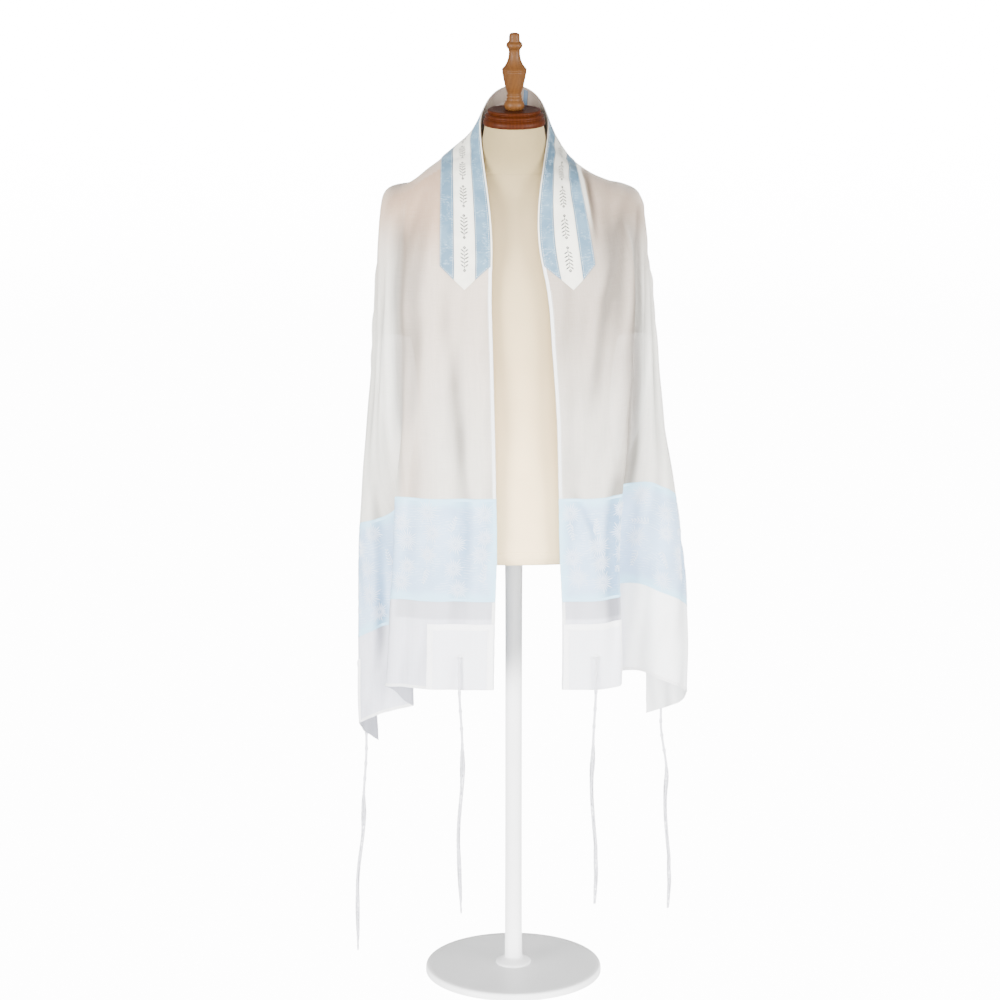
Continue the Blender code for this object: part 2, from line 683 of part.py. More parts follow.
def build_tassel(end, row, collection):
    """Wound cord with double knots, opening into eight loose strands.

    The cord is a tube of twelve sides closed below by a 3 x 3 grid; the
    eight outer cells of that grid go on as four-sided strands.
    """
    tassel = dict(zip(TASSEL_COLUMNS, row))
    name = "tassel_" + SIDE_NAMES[tassel["side"]] + "_" + tassel["corner"]
    fall, path = tassel_path(end, tassel)
    tassel["strands"] = fall[-1] - tassel["wound"]

    def centre(distance):
        return np.stack([np.interp(distance, fall, path[:, k]) for k in range(3)], -1)

    vertices, faces = [], []
    angles = np.arange(12) * math.pi / 6 + math.pi / 4
    circle = np.stack([np.cos(angles), np.sin(angles), 0 * angles], -1)
    cord_at = np.linspace(0.0, tassel["wound"], CORD_SEGMENTS + 1)
    for index, distance in enumerate(cord_at):
        knot = KNOTS * index / CORD_SEGMENTS
        swell = math.cos(math.pi * (knot - round(knot))) ** 8
        radius = CORD_RADIUS + (KNOT_RADIUS - CORD_RADIUS) * swell
        vertices.extend(centre(distance) + circle * radius)
    for ring in range(CORD_SEGMENTS):
        for k in range(12):
            low, high = ring * 12, ring * 12 + 12
            faces.append((low + k, low + (k + 1) % 12, high + (k + 1) % 12, high + k))
    faces.append(tuple(range(12))[::-1])

    # Bottom grid: rows and columns of vertex numbers, rim first.
    last = CORD_SEGMENTS * 12
    radius = np.linalg.norm(vertices[last] - centre(tassel["wound"]))
    inner = len(vertices)
    for dx, dy in ((1, 1), (-1, 1), (-1, -1), (1, -1)):
        vertices.append(centre(tassel["wound"]) + np.array([dx, dy, 0]) * radius * 0.30)
    rim = [last + k for k in range(12)]
    lattice = [
        [rim[6], rim[7], rim[8], rim[9]],
        [rim[5], inner + 2, inner + 3, rim[10]],
        [rim[4], inner + 1, inner + 0, rim[11]],
        [rim[3], rim[2], rim[1], rim[0]],
    ]
    for i in range(3):
        for j in range(3):
            cell = (lattice[i][j], lattice[i][j + 1], lattice[i + 1][j + 1], lattice[i + 1][j])
            if i == 1 and j == 1:
                faces.append(cell)
            else:
                grow_strand(vertices, faces, cell, centre, tassel)
    mesh = mesh_from(name, vertices, faces)
    fix_normals(mesh)
    return add_object(name, mesh, collection, "opaque_white")


def grow_strand(vertices, faces, cell, centre, tassel):
    """Carry one cell of the cord's lower end on as a loose strand."""
    middle = centre(tassel["wound"])
    corners = np.array([vertices[k] for k in cell])
    out = corners.mean(axis=0) - middle
    heading = math.atan2(out[1], out[0])
    radial = np.array([math.cos(heading), math.sin(heading), 0.0])
    sideways = np.array([-radial[1], radial[0], 0.0])
    corner_angles = np.arctan2((corners - corners.mean(axis=0)) @ sideways,
                               (corners - corners.mean(axis=0)) @ radial)
    square = np.round((corner_angles - math.pi / 4) / (math.pi / 2)) * math.pi / 2 + math.pi / 4
    offsets = (np.cos(square)[:, None] * radial + np.sin(square)[:, None] * sideways)
    offsets = offsets * STRAND_HALF * math.sqrt(2)
    length = tassel["strands"] * (0.95 + 0.05 * math.sin(heading * 2 + tassel["side"]))
    previous = list(cell)
    for step in range(1, STRAND_SEGMENTS + 1):
        share = step / STRAND_SEGMENTS
        distance = tassel["wound"] + max(length * share, 0.004)
        bulge = math.sin(math.pi * min(share * 3.2, 1.0)) * 0.0014
        spread = STRAND_SPREAD * (0.85 + 0.35 * share) + bulge
        point = centre(distance) + radial * spread
        first = len(vertices)
        vertices.extend(point + offsets)
        ring = [first + k for k in range(4)]
        for k in range(4):
            faces.append((previous[k], previous[(k + 1) % 4], ring[(k + 1) % 4], ring[k]))
        previous = ring
    faces.append(tuple(previous))


def fix_normals(mesh):
    """Turn all faces of a closed mesh outwards."""
    work = bmesh.new()
    work.from_mesh(mesh)
    bmesh.ops.recalc_face_normals(work, faces=work.faces)
    work.to_mesh(mesh)
    work.free()


# ----------------------------------------------------------------- dress form
def build_torso(collection):
    """Smooth limbless torso: a loft of rounded sections, neck leaning."""
    angle = np.arange(FORM_SIDES) * 2 * math.pi / FORM_SIDES
    heights = np.concatenate([
        column(FORM_SECTIONS[:2], FORM_COLUMNS, "z"),
        np.linspace(0.762, 1.252, 8),
        np.linspace(1.284, 1.404, 11),
        [1.422, NECK_TOP_Z]])
    vertices = []
    for z in heights:
        wide, front, back, roundness = (
            float(lookup(FORM_SECTIONS, FORM_COLUMNS, "z", name, z)) for name in FORM_COLUMNS[1:])
        power = 2 / roundness
        x = wide * np.sign(np.sin(angle)) * np.abs(np.sin(angle)) ** power
        depth = np.where(np.cos(angle) > 0, front, back)
        y = -depth * np.sign(np.cos(angle)) * np.abs(np.cos(angle)) ** power
        lean = float(ease(NECK_TILT_FROM_Z, NECK_TOP_Z, z)) * math.tan(NECK_TILT)
        vertices.append(np.stack([x, y, z + y * lean], -1))
    rings = len(heights)
    vertices = np.concatenate(vertices)
    faces = []
    for ring in range(rings - 1):
        for k in range(FORM_SIDES):
            low, high = ring * FORM_SIDES, (ring + 1) * FORM_SIDES
            following = (k + 1) % FORM_SIDES
            faces.append((low + k, low + following, high + following, high + k))
    faces.append(tuple(range(FORM_SIDES)))
    faces.append(tuple((rings - 1) * FORM_SIDES + k for k in range(FORM_SIDES)))
    mesh = mesh_from("dress_form_torso", vertices, faces)
    fix_normals(mesh)
    return add_object("dress_form_torso", mesh, collection, "linen")


def turned(name, profile, material, collection, steps=TURNED_STEPS):
    """Turned piece: a profile from top to bottom, screwed round +Z."""
    outline = [(0.0, profile[0][1])] + [tuple(point) for point in profile] + [(0.0, profile[-1][1])]
    vertices = [(radius, 0.0, height) for radius, height in outline]
    edges = [(k, k + 1) for k in range(len(vertices) - 1)]
    mesh = bpy.data.meshes.new(name)
    mesh.from_pydata(vertices, edges, [])
    piece = add_object(name, mesh, collection, material)
    screw = piece.modifiers.new("turn", "SCREW")
    screw.steps = steps
    screw.render_steps = steps
    screw.use_merge_vertices = True
    screw.merge_threshold = 0.00005
    screw.use_smooth_shade = True
    return piece


def build_wood(collection):
    """Neck cap and finial, both square to the leaning neck."""
    seat = NECK_TOP_Z + STAND_GAP
    cap = turned("neck_cap", CAP_PROFILE, "dark_wood", collection, 24)
    cap.location = (0.0, 0.0, seat)
    cap.rotation_euler = (NECK_TILT, 0.0, 0.0)
    top = CAP_PROFILE[0][1] + STAND_GAP
    finial = turned("finial", FINIAL_PROFILE, "honey_wood", collection)
    finial.location = (0.0, -top * math.sin(NECK_TILT), seat + top * math.cos(NECK_TILT))
    finial.rotation_euler = (NECK_TILT, 0.0, 0.0)


def build_stand(collection):
    """Round base plate and slim pole under the torso."""
    base_profile = (
        (BASE_RADIUS - 0.004, BASE_THICKNESS),
        (BASE_RADIUS - 0.001, BASE_THICKNESS - 0.002),
        (BASE_RADIUS, BASE_THICKNESS - 0.005),
        (BASE_RADIUS, 0.0),
    )
    turned("stand_base", base_profile, "stand_white", collection, BASE_SIDES)
    top = FORM_SECTIONS[0][0] - STAND_GAP
    foot = BASE_THICKNESS + STAND_GAP
    pole_profile = (
        (FLANGE_RADIUS, top),
        (FLANGE_RADIUS, top - 0.004),
        (POLE_RADIUS + 0.002, top - FLANGE_HEIGHT),
        (POLE_RADIUS, top - FLANGE_HEIGHT - 0.004),
        (POLE_RADIUS, foot + FLANGE_HEIGHT + 0.004),
        (POLE_RADIUS + 0.002, foot + FLANGE_HEIGHT),
        (FLANGE_RADIUS, foot + 0.004),
        (FLANGE_RADIUS, foot),
    )
    turned("stand_pole", pole_profile, "stand_white", collection, 16)


def build():
    """Make the whole object."""
    for thing in list(bpy.data.objects):
        bpy.data.objects.remove(thing, do_unlink=True)
    collection = new_collection("tallit_on_dress_form")
    build_torso(collection)
    build_wood(collection)
    build_stand(collection)
    main = build_main_panel(collection)
    build_neck_band(main, collection)
    ends = {
        LEFT: build_end_pieces(LEFT, "left", collection),
        RIGHT: build_end_pieces(RIGHT, "right", collection),
    }
    for row in TASSELS:
        build_tassel(ends[row[0]], row, collection)


build()
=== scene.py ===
"""Tallit prayer shawl on a dress form: the visual pieces round the fixed frame.

Metres, +Z up.  The front faces -Y and the stand's underside is at Z = 0.  A
point of the cloth has two coordinates: s along the shawl from the nape
(negative to the left end) and t across it from the neck edge to the outer
edge.  Every cloth piece is a range of s and t on one draped surface, moved
out along its normal by its own lift.
"""

import json
import logging
import math
from dataclasses import dataclass, field
from enum import Enum
from functools import partialmethod
from typing import Sequence

import bpy
import numpy as np
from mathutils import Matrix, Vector
from numpy.typing import NDArray

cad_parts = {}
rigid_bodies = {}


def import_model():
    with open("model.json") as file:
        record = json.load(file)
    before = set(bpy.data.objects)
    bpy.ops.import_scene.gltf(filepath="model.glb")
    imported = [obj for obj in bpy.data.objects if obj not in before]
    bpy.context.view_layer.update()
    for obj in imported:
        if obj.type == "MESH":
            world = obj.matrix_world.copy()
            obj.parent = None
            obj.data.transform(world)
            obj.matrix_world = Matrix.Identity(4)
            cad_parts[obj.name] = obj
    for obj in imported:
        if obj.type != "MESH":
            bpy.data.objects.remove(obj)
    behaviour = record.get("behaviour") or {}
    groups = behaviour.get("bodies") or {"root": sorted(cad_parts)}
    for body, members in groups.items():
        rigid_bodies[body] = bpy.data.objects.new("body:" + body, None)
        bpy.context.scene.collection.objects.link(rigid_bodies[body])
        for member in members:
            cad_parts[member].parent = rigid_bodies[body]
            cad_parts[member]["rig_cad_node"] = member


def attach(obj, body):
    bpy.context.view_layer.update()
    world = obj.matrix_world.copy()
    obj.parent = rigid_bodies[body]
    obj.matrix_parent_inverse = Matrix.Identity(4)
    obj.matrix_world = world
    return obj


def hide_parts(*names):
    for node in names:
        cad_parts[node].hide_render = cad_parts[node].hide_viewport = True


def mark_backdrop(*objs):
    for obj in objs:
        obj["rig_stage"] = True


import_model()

Array = NDArray[np.float64]
Reading = Array | float
Row = tuple[float, ...]
Skin = tuple[Array, Array, Array, Array]
Thing = bpy.types.Object
log = logging.getLogger("tallit")
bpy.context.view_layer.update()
TURN = 2 * math.pi


class Side(Enum):
    """One end of the shawl, by the sign of its X."""

    LEFT = -1
    RIGHT = 1

    @property
    def label(self) -> str:
        """Lower-case name, as the frame's nodes use it."""
        return self.name.lower()


class Corner(Enum):
    """Corner of an end, by the long edge that it is nearer to."""

    INNER = "inner"
    OUTER = "outer"


# ------------------------------------------------------------------ cloth cut
HALF_LENGTH = 1.065
CLOTH_WIDTH = 0.480
BAND_HEIGHT = 0.170
END_DEPTH = 0.149
PATCH_SIZE = 0.110
PATCH_INSET = 0.0015
PATCH_FOLD = 0.0105
SEAM_GAP = 0.0006
EDGE = 0.0006              # trims stop this far inside a cut edge
BAND_BOTTOM_S = HALF_LENGTH - END_DEPTH
BAND_TOP_S = BAND_BOTTOM_S - BAND_HEIGHT
NECK_SHOULDER_S = 0.372
NECK_TIP_S = 0.409
NECK_EDGES = (0.003, 0.0265, 0.0605, 0.084)
NECK_MIDDLE = (NECK_EDGES[0] + NECK_EDGES[3]) / 2
HEM_WIDTH = 0.0056
CLOTH_WALL = 0.0004


# ---------------------------------------------------------------------- curves
def ease(low: float, high: float, value: Reading) -> Array:
    """Rise smoothly from 0 at low to 1 at high: u * u * (3 - 2 u)."""
    u = np.clip((np.asarray(value, float) - low) / (high - low), 0.0, 1.0)
    return u * u * (3 - 2 * u)


def bell(gap: Reading, width: float) -> Array:
    """Bell of a distance: e to the minus (gap / width) squared."""
    return np.exp(-((gap / width) ** 2))


def unit(vectors: Array) -> Array:
    """Vectors scaled to length 1."""
    return vectors / np.linalg.norm(vectors, axis=-1, keepdims=True)


def passed(line: Array) -> Array:
    """Length passed at each point of a line, from 0."""
    return np.concatenate([[0], np.cumsum(np.linalg.norm(np.diff(line, axis=0), axis=1))])


def sampled(at: Array, way: Array, line: Array) -> Array:
    """Points of a line at given places of its way."""
    return np.stack([np.interp(at, way, part) for part in line.T], -1)


def spread(low: float, high: float, step: float) -> Array:
    """Even numbers from low to high, about step apart."""
    return np.linspace(low, high, max(int(round((high - low) / step)), 1) + 1)


def hermite(u: Array, start: Array, leaving: Array, end: Array, arriving: Array) -> Array:
    """Cubic curve at the shares u: the four Hermite weights times two ends and two tangents."""
    opening = start * (1 + 2 * u) * (1 - u) ** 2 + leaving * u * (1 - u) ** 2
    return opening + end * u * u * (3 - 2 * u) + arriving * u * u * (u - 1)


def cell(at: Array, lines: Array) -> tuple[Array, Array]:
    """Which gap between lines each place is in, and its share of that gap."""
    i = np.interp(at, lines, np.arange(len(lines))).astype(int).clip(0, len(lines) - 2)
    return i, (at - lines[i]) / (lines[i + 1] - lines[i])


def between(grid: Array, row: tuple[Array, Array], column: tuple[Array, Array]) -> Array:
    """Bilinear value of a grid of vectors.

    Args:
        grid: values, (rows, columns, n).
        row, column: the cell and the share of it, as cell gives them.

    Returns:
        The four corners' values, weighted by the shares.
    """
    (i, u), (j, v) = row, column
    u, v = u[..., None], v[..., None]
    near = grid[i, j] * (1 - v) + grid[i, j + 1] * v
    return near * (1 - u) + (grid[i + 1, j] * (1 - v) + grid[i + 1, j + 1] * v) * u


@dataclass(frozen=True)
class Table:
    """Short table in thousandths, whose named columns are read as smooth curves."""

    columns: str
    rows: tuple[Row, ...]

    def read(self, name: str, at: Reading) -> Array:
        """Smooth curve through a column, by the first column.

        Args:
            name: the column to read.
            at: places on the first column.

        Returns:
            Cubic Hermite values, with slopes taken from the neighbours.
        """
        data = np.array(self.rows, float) / 1000
        knots, values = data[:, 0], data[:, self.columns.split().index(name)]
        slopes = np.gradient(values, knots)
        at = np.clip(np.asarray(at, float), knots[0], knots[-1])
        i = np.clip(np.searchsorted(knots, at, side="right") - 1, 0, len(knots) - 2)
        gap = knots[i + 1] - knots[i]
        u = (at - knots[i]) / gap
        return hermite(u, values[i], slopes[i] * gap, values[i + 1], slopes[i + 1] * gap)


# ------------------------------------------------------------- shape of the drape
BACK_LINE = Table("down y z", (
    (0, 74, 1498), (50, 79, 1447), (100, 98, 1401), (160, 124, 1347),
    (240, 141, 1269), (340, 148, 1170), (480, 150, 1030)))
CREST = Table("t left_x left_z right_x right_z y reach run", (
    (0, 54, 1436, 54, 1438, 18, 141, 265), (35, 77, 1405, 70, 1407, 19, 142, 260),
    (70, 107, 1388, 91, 1380, 20, 142, 255), (115, 142, 1363, 126, 1357, 20, 140, 250),
    (165, 181, 1336, 172, 1338, 20, 125, 240), (195, 207, 1325, 199, 1326, 21, 110, 230),
    (215, 217, 1310, 210, 1311, 22, 100, 225), (260, 221, 1264, 215, 1265, 28, 75, 210),
    (320, 227, 1204, 224, 1206, 40, 45, 200), (400, 233, 1124, 234, 1127, 58, 30, 225),
    (480, 238, 1044, 241, 1048, 74, 30, 240)))
DROP = Table("t left right", (
    (0, 0, 0), (80, 1, 0), (120, 2, -5), (165, 2, -14), (205, 10, -16), (240, 34, -4),
    (330, 66, 34), (400, 98, 68), (480, 140, 100)))
LEAVE = Table("t forward down", (
    (0, 780, 620), (60, 970, 220), (165, 990, 100), (205, 930, 340), (260, 620, 780),
    (340, 360, 930), (480, 250, 970)))
HANG_RINGS = Table("z left right front edge_left edge_right", (
    (322, 256, 290, 118, 110, 128), (482, 259, 291, 121, 109, 126),
    (592, 260, 290, 124, 108, 124), (712, 259, 286, 127, 106, 120),
    (842, 257, 270, 129, 102, 114), (932, 250, 254, 130, 96, 106),
    (1072, 236, 237, 130, 88, 94), (1222, 225, 222, 121, 84, 88),
    (1322, 216, 211, 105, 84, 86)))
FRONT_EDGES = Table("z left right", (
    (522, 33, 78), (672, 30, 77), (732, 28, 74), (857, 29, 71), (1002, 32, 66),
    (1082, 34, 60), (1182, 36, 51), (1227, 35, 42), (1279, 35, 35), (1342, 38, 35)))
FORM = Table("z wide front back roundness", (
    (730, 172, 104, 108, 2300), (734, 176, 107, 111, 2300), (782, 180, 110, 116, 2300),
    (872, 172, 108, 112, 2300), (962, 158, 103, 100, 2300), (1052, 163, 107, 104, 2300),
    (1132, 178, 109, 112, 2300), (1202, 192, 102, 118, 2300), (1257, 198, 86, 114, 2300),
    (1292, 198, 72, 106, 2300), (1308, 192, 65, 100, 2200), (1320, 176, 60, 95, 2200),
    (1334, 146, 57, 89, 2100), (1350, 114, 54, 82, 2000), (1366, 86, 52, 74, 2000),
    (1384, 67, 49, 66, 2000), (1404, 55, 47, 57, 2000), (1422, 50, 46.5, 51, 2000),
    (1436.5, 47.5, 46.5, 48, 2000)))
# Each wave: share of the way from centre to side, width, depth, t where it fades out.
BACK_WAVES = {
    Side.LEFT: ((0.16, 0.084, 0.020, 0.16), (0.42, 0.076, 0.024, 0.20), (0.68, 0.071, 0.018, 0.24)),
    Side.RIGHT: (
        (0.22, 0.092, 0.022, 0.18), (0.50, 0.076, 0.019, 0.22), (0.75, 0.063, 0.022, 0.26)),
}


@dataclass(frozen=True)
class Pleat:
    """Main pleat of one side's hanging cloth; lengths are round the plan."""

    at_top: float
    at_hem: float
    net: float
    step: float
    lap: float
    relax: float
    begins: float
    full: float


PLEATS = {
    Side.LEFT: Pleat(0.160, 0.172, 0.045, 0.046, 0.030, 0.090, 0.50, 0.96),
    Side.RIGHT: Pleat(0.134, 0.094, 0.034, 0.050, 0.015, 0.110, 0.44, 0.94),
}
SIDE_WAVES = {Side.LEFT: (0.72, 0.99), Side.RIGHT: (0.69, 0.96)}
SIDE_WAVE_WIDTH, DEEPEST_WAVE = 0.11, 0.030
WAVES_FROM_S, WAVES_FULL_S = 0.45, 0.80
FRONT_ROUNDNESS, BACK_ROUNDNESS, BACK_DEPTH = 2.3, 2.0, 0.170
EDGE_HEIGHT_PLUS_S = 1.590   # hanging neck edge: its height plus its s
BACK_PULL, BEND_LENGTH = 1.12, 1.045
LOOK_BELOW = 0.02            # the bend lands along the cloth this far below
BISECTIONS = 22
RING_ANGLES = np.linspace(0.0, 0.97 * math.pi, 1800)     # from the middle of the front
FRONT_POINTS = 800           # of them in front, where X grows
STEEPEST = 0.9               # square of the steepest slope that narrows the cloth
WAVES_DIE_FROM = 0.85        # share of the way to the crest
LEVELS = np.linspace(0.25, HALF_LENGTH, 240)
AROUND = np.linspace(0.0, 0.50, 900)
ACROSS = np.linspace(0.0, CLOTH_WIDTH, 240)


@dataclass
class Drape:
    """Middle surface of the cloth on one side, from the nape to the end."""

    side: Side

    def __post_init__(self) -> None:
        """Work out the hanging plan at every level once."""
        self.pleat = PLEATS[self.side]
        self.plans = np.array([self.hanging_plan(float(s)) for s in LEVELS])

    def plumb_height(self, s: Reading, t: Reading) -> Array:
        """Height of hanging cloth: it falls by its own length."""
        return EDGE_HEIGHT_PLUS_S - s - DROP.read(self.side.label, t)

    def crest(self, t: Array) -> tuple[Array, Array, Array]:
        """Point of the crest at t, with the cloth's s there and its run down to plumb.

        Args:
            t: places across the cloth.

        Returns:
            The points, s, and the run; the bend's fall is the other side of a
            right triangle on its reach.
        """
        label = self.side.label
        x, z = self.side.value * CREST.read(label + "_x", t), CREST.read(label + "_z", t)
        run, reach = CREST.read("run", t), CREST.read("reach", t)
        fall = np.sqrt((run / BEND_LENGTH) ** 2 - reach ** 2)
        start = self.plumb_height(0.0, t) - (z - fall) - run
        return np.stack([x, CREST.read("y", t), z], -1), start, run

    def ring(self, z: float) -> tuple[Array, Array, float]:
        """Plan outline from the front edge round to the back, as two half superellipses.

        Args:
            z: height.

        Returns:
            The outline's points and inward normals at AROUND, and the way
            round to the outer edge.
        """
        label = self.side.label
        names = (label, "front", "edge_" + label)
        wide, front, edge_y = (float(HANG_RINGS.read(name, z)) for name in names)
        sin, cos = np.sin(RING_ANGLES), np.cos(RING_ANGLES)
        power = np.where(cos > 0, 2 / FRONT_ROUNDNESS, 2 / BACK_ROUNDNESS)
        y = np.where(cos > 0, -front, BACK_DEPTH) * np.abs(cos) ** power
        line = np.stack([wide * sin ** power, y], -1)
        first = np.searchsorted(line[:FRONT_POINTS, 0], float(FRONT_EDGES.read(label, z)))
        line = line[first:]
        way = passed(line)
        outer = float(np.interp(edge_y, line[:, 1], way))
        line = sampled(AROUND, way, line)
        run = unit(np.gradient(line, axis=0))
        return line, np.stack([-run[:, 1], run[:, 0]], -1), outer

    def pleated(self, grown: float) -> tuple[Array, Array, float]:
        """Where the main pleat lays the cloth: a sine swing doubles it back.

        Args:
            grown: how far the pleat has opened, 0 to 1.

        Returns:
            Places round the ring, the set inwards, and the pleat's far end.
        """
        pleat = self.pleat
        at = pleat.at_top + (pleat.at_hem - pleat.at_top) * grown
        share = (AROUND - at) / pleat.net + 0.5
        swing = np.sin(TURN * np.clip(share, 0.0, 1.0))
        relaxed = 1.0 + pleat.relax / pleat.net
        inward = pleat.step * grown * ease(0.12, 0.88, share) * (1 - ease(1.0, relaxed, share))
        return AROUND + pleat.lap * grown * swing, inward, at + pleat.net / 2

    def hanging_plan(self, s: float) -> Array:
        """Plan position of every t at one s, with pleat and side waves.

        The waves' depth is found by bisection, so that the cloth's own width
        ends at the outer edge.

        Args:
            s: distance from the nape.

        Returns:
            X and Y at ACROSS, as on the right side.
        """
        line, inner, outer = self.ring(float(self.plumb_height(s, 0.0)))
        grown = float(ease(self.pleat.begins, self.pleat.full, s))
        along, inward, clear = self.pleated(grown)
        share = (AROUND - clear) / (outer - clear)
        wave = sum(bell(share - at, SIDE_WAVE_WIDTH) for at in SIDE_WAVES[self.side])
        slope = np.gradient(self.plumb_height(s, ACROSS), ACROSS)
        level = np.sqrt(1 - np.minimum(slope ** 2, STEEPEST))
        steps = np.diff(ACROSS) * (level[1:] + level[:-1]) / 2
        width = np.concatenate([[0], np.cumsum(steps)])

        def laid(depth: float) -> tuple[Array, Array]:
            """Plan points for waves of one depth.

            Args:
                depth: how far the waves go in.

            Returns:
                The points, and the way along them.
            """
            inset = (inward + depth * wave)[:, None]
            plan = sampled(along, AROUND, line) + sampled(along, AROUND, inner) * inset
            return plan, passed(plan)

        shallow, deep = 0.0, DEEPEST_WAVE * float(ease(WAVES_FROM_S, WAVES_FULL_S, s))
        for _ in range(BISECTIONS):
            middle = (shallow + deep) / 2
            short = np.interp(outer, AROUND, laid(middle)[1]) < width[-1]
            shallow, deep = (middle, deep) if short else (shallow, middle)
        plan, way = laid(shallow)
        start, end = np.interp((clear, outer), AROUND, way)
        if end < width[-1]:
            eased = start + (width - start) * (end - start) / (width[-1] - start)
            width = np.where(width > start, eased, width)
        return sampled(width, way, plan)

    def hanging(self, s: Array, t: Array) -> Array:
        """Point of the cloth where it hangs plumb, read between the levels."""
        plan = between(self.plans, cell(s, LEVELS), cell(t, ACROSS))
        return np.stack([self.side.value * plan[..., 0], plan[..., 1], self.plumb_height(s, t)], -1)

    def points(self, s: Array, t: Array) -> Array:
        """Middle surface: the back's curve, a bend over the crest, then plumb cloth.

        Args:
            s, t: cloth coordinates of one shape, s without its sign.

        Returns:
            The points.
        """
        crest, start, run = self.crest(t)
        leave = np.stack([0 * t, -LEAVE.read("forward", t), -LEAVE.read("down", t)], -1)
        plumb = start + run
        landing, below = self.hanging(plumb, t), self.hanging(plumb + LOOK_BELOW, t)
        u, pull = np.clip((s - start) / run, 0.0, 1.0)[..., None], run[..., None]
        bend = hermite(u, crest, leave * pull, landing, (below - landing) / LOOK_BELOW * pull)
        front = np.where((s > plumb)[..., None], self.hanging(s, t), bend)
        back = self.back(np.clip(s / start, 0.0, 1.0), t, crest, leave)
        return np.where((s < start)[..., None], back, front)

    def back(self, u: Array, t: Array, crest: Array, leave: Array) -> Array:
        """From the centre-back line round to the crest, with soft waves.

        Args:
            u: share of the way from the centre to the crest.
            t: places across the cloth.
            crest, leave: the crest's points and the cloth's heading there.

        Returns:
            A Hermite curve at each t, with bells of u added backwards.
        """
        centre = np.stack([0 * t, BACK_LINE.read("y", t), BACK_LINE.read("z", t)], -1)
        chord = np.linalg.norm(crest - centre, axis=-1)[..., None] * BACK_PULL
        outward = np.array([self.side.value, 0.0, 0.0])
        surface = hermite(u[..., None], centre, outward * chord, crest, leave * chord)
        for share, width, depth, fades_at in BACK_WAVES[self.side]:
            wave = depth * bell(u - share, width) * ease(fades_at, CLOTH_WIDTH, t)
            surface[..., 1] += wave * (1 - ease(WAVES_DIE_FROM, 1.0, u))
        return surface


@dataclass(frozen=True)
class Crease:
    """Soft ridge (rise > 0) or trough (rise < 0) along a bent line, in millimetres.

    The relief is the rise times a bell of the distance from the line, and it
    fades towards both of the line's ends.
    """

    width: float
    rise: float
    line: Row

    def relief(self, s: Array, t: Array) -> Array:
        """Height that the crease adds at each point, in metres.

        Args:
            s, t: cloth coordinates of one shape.

        Returns:
            The heights.
        """
        nodes = np.array(self.line, float).reshape(-1, 2) / 1000
        reach = passed(nodes)
        nearest, place = np.full(s.shape, np.inf), np.zeros(s.shape)
        for start, run, gone in zip(nodes, np.diff(nodes, axis=0), reach):
            span = math.hypot(*run)
            run = run / span
            held = np.clip((s - start[0]) * run[0] + (t - start[1]) * run[1], 0.0, span)
            gap = np.hypot(s - start[0] - held * run[0], t - start[1] - held * run[1])
            place = np.where(gap < nearest, (gone + held) / reach[-1], place)
            nearest = np.minimum(nearest, gap)
        fade = np.sin(np.pi * np.clip(place, 0.02, 0.98)) ** 0.6
        return self.rise / 1000 * fade * bell(nearest, self.width / 1000)


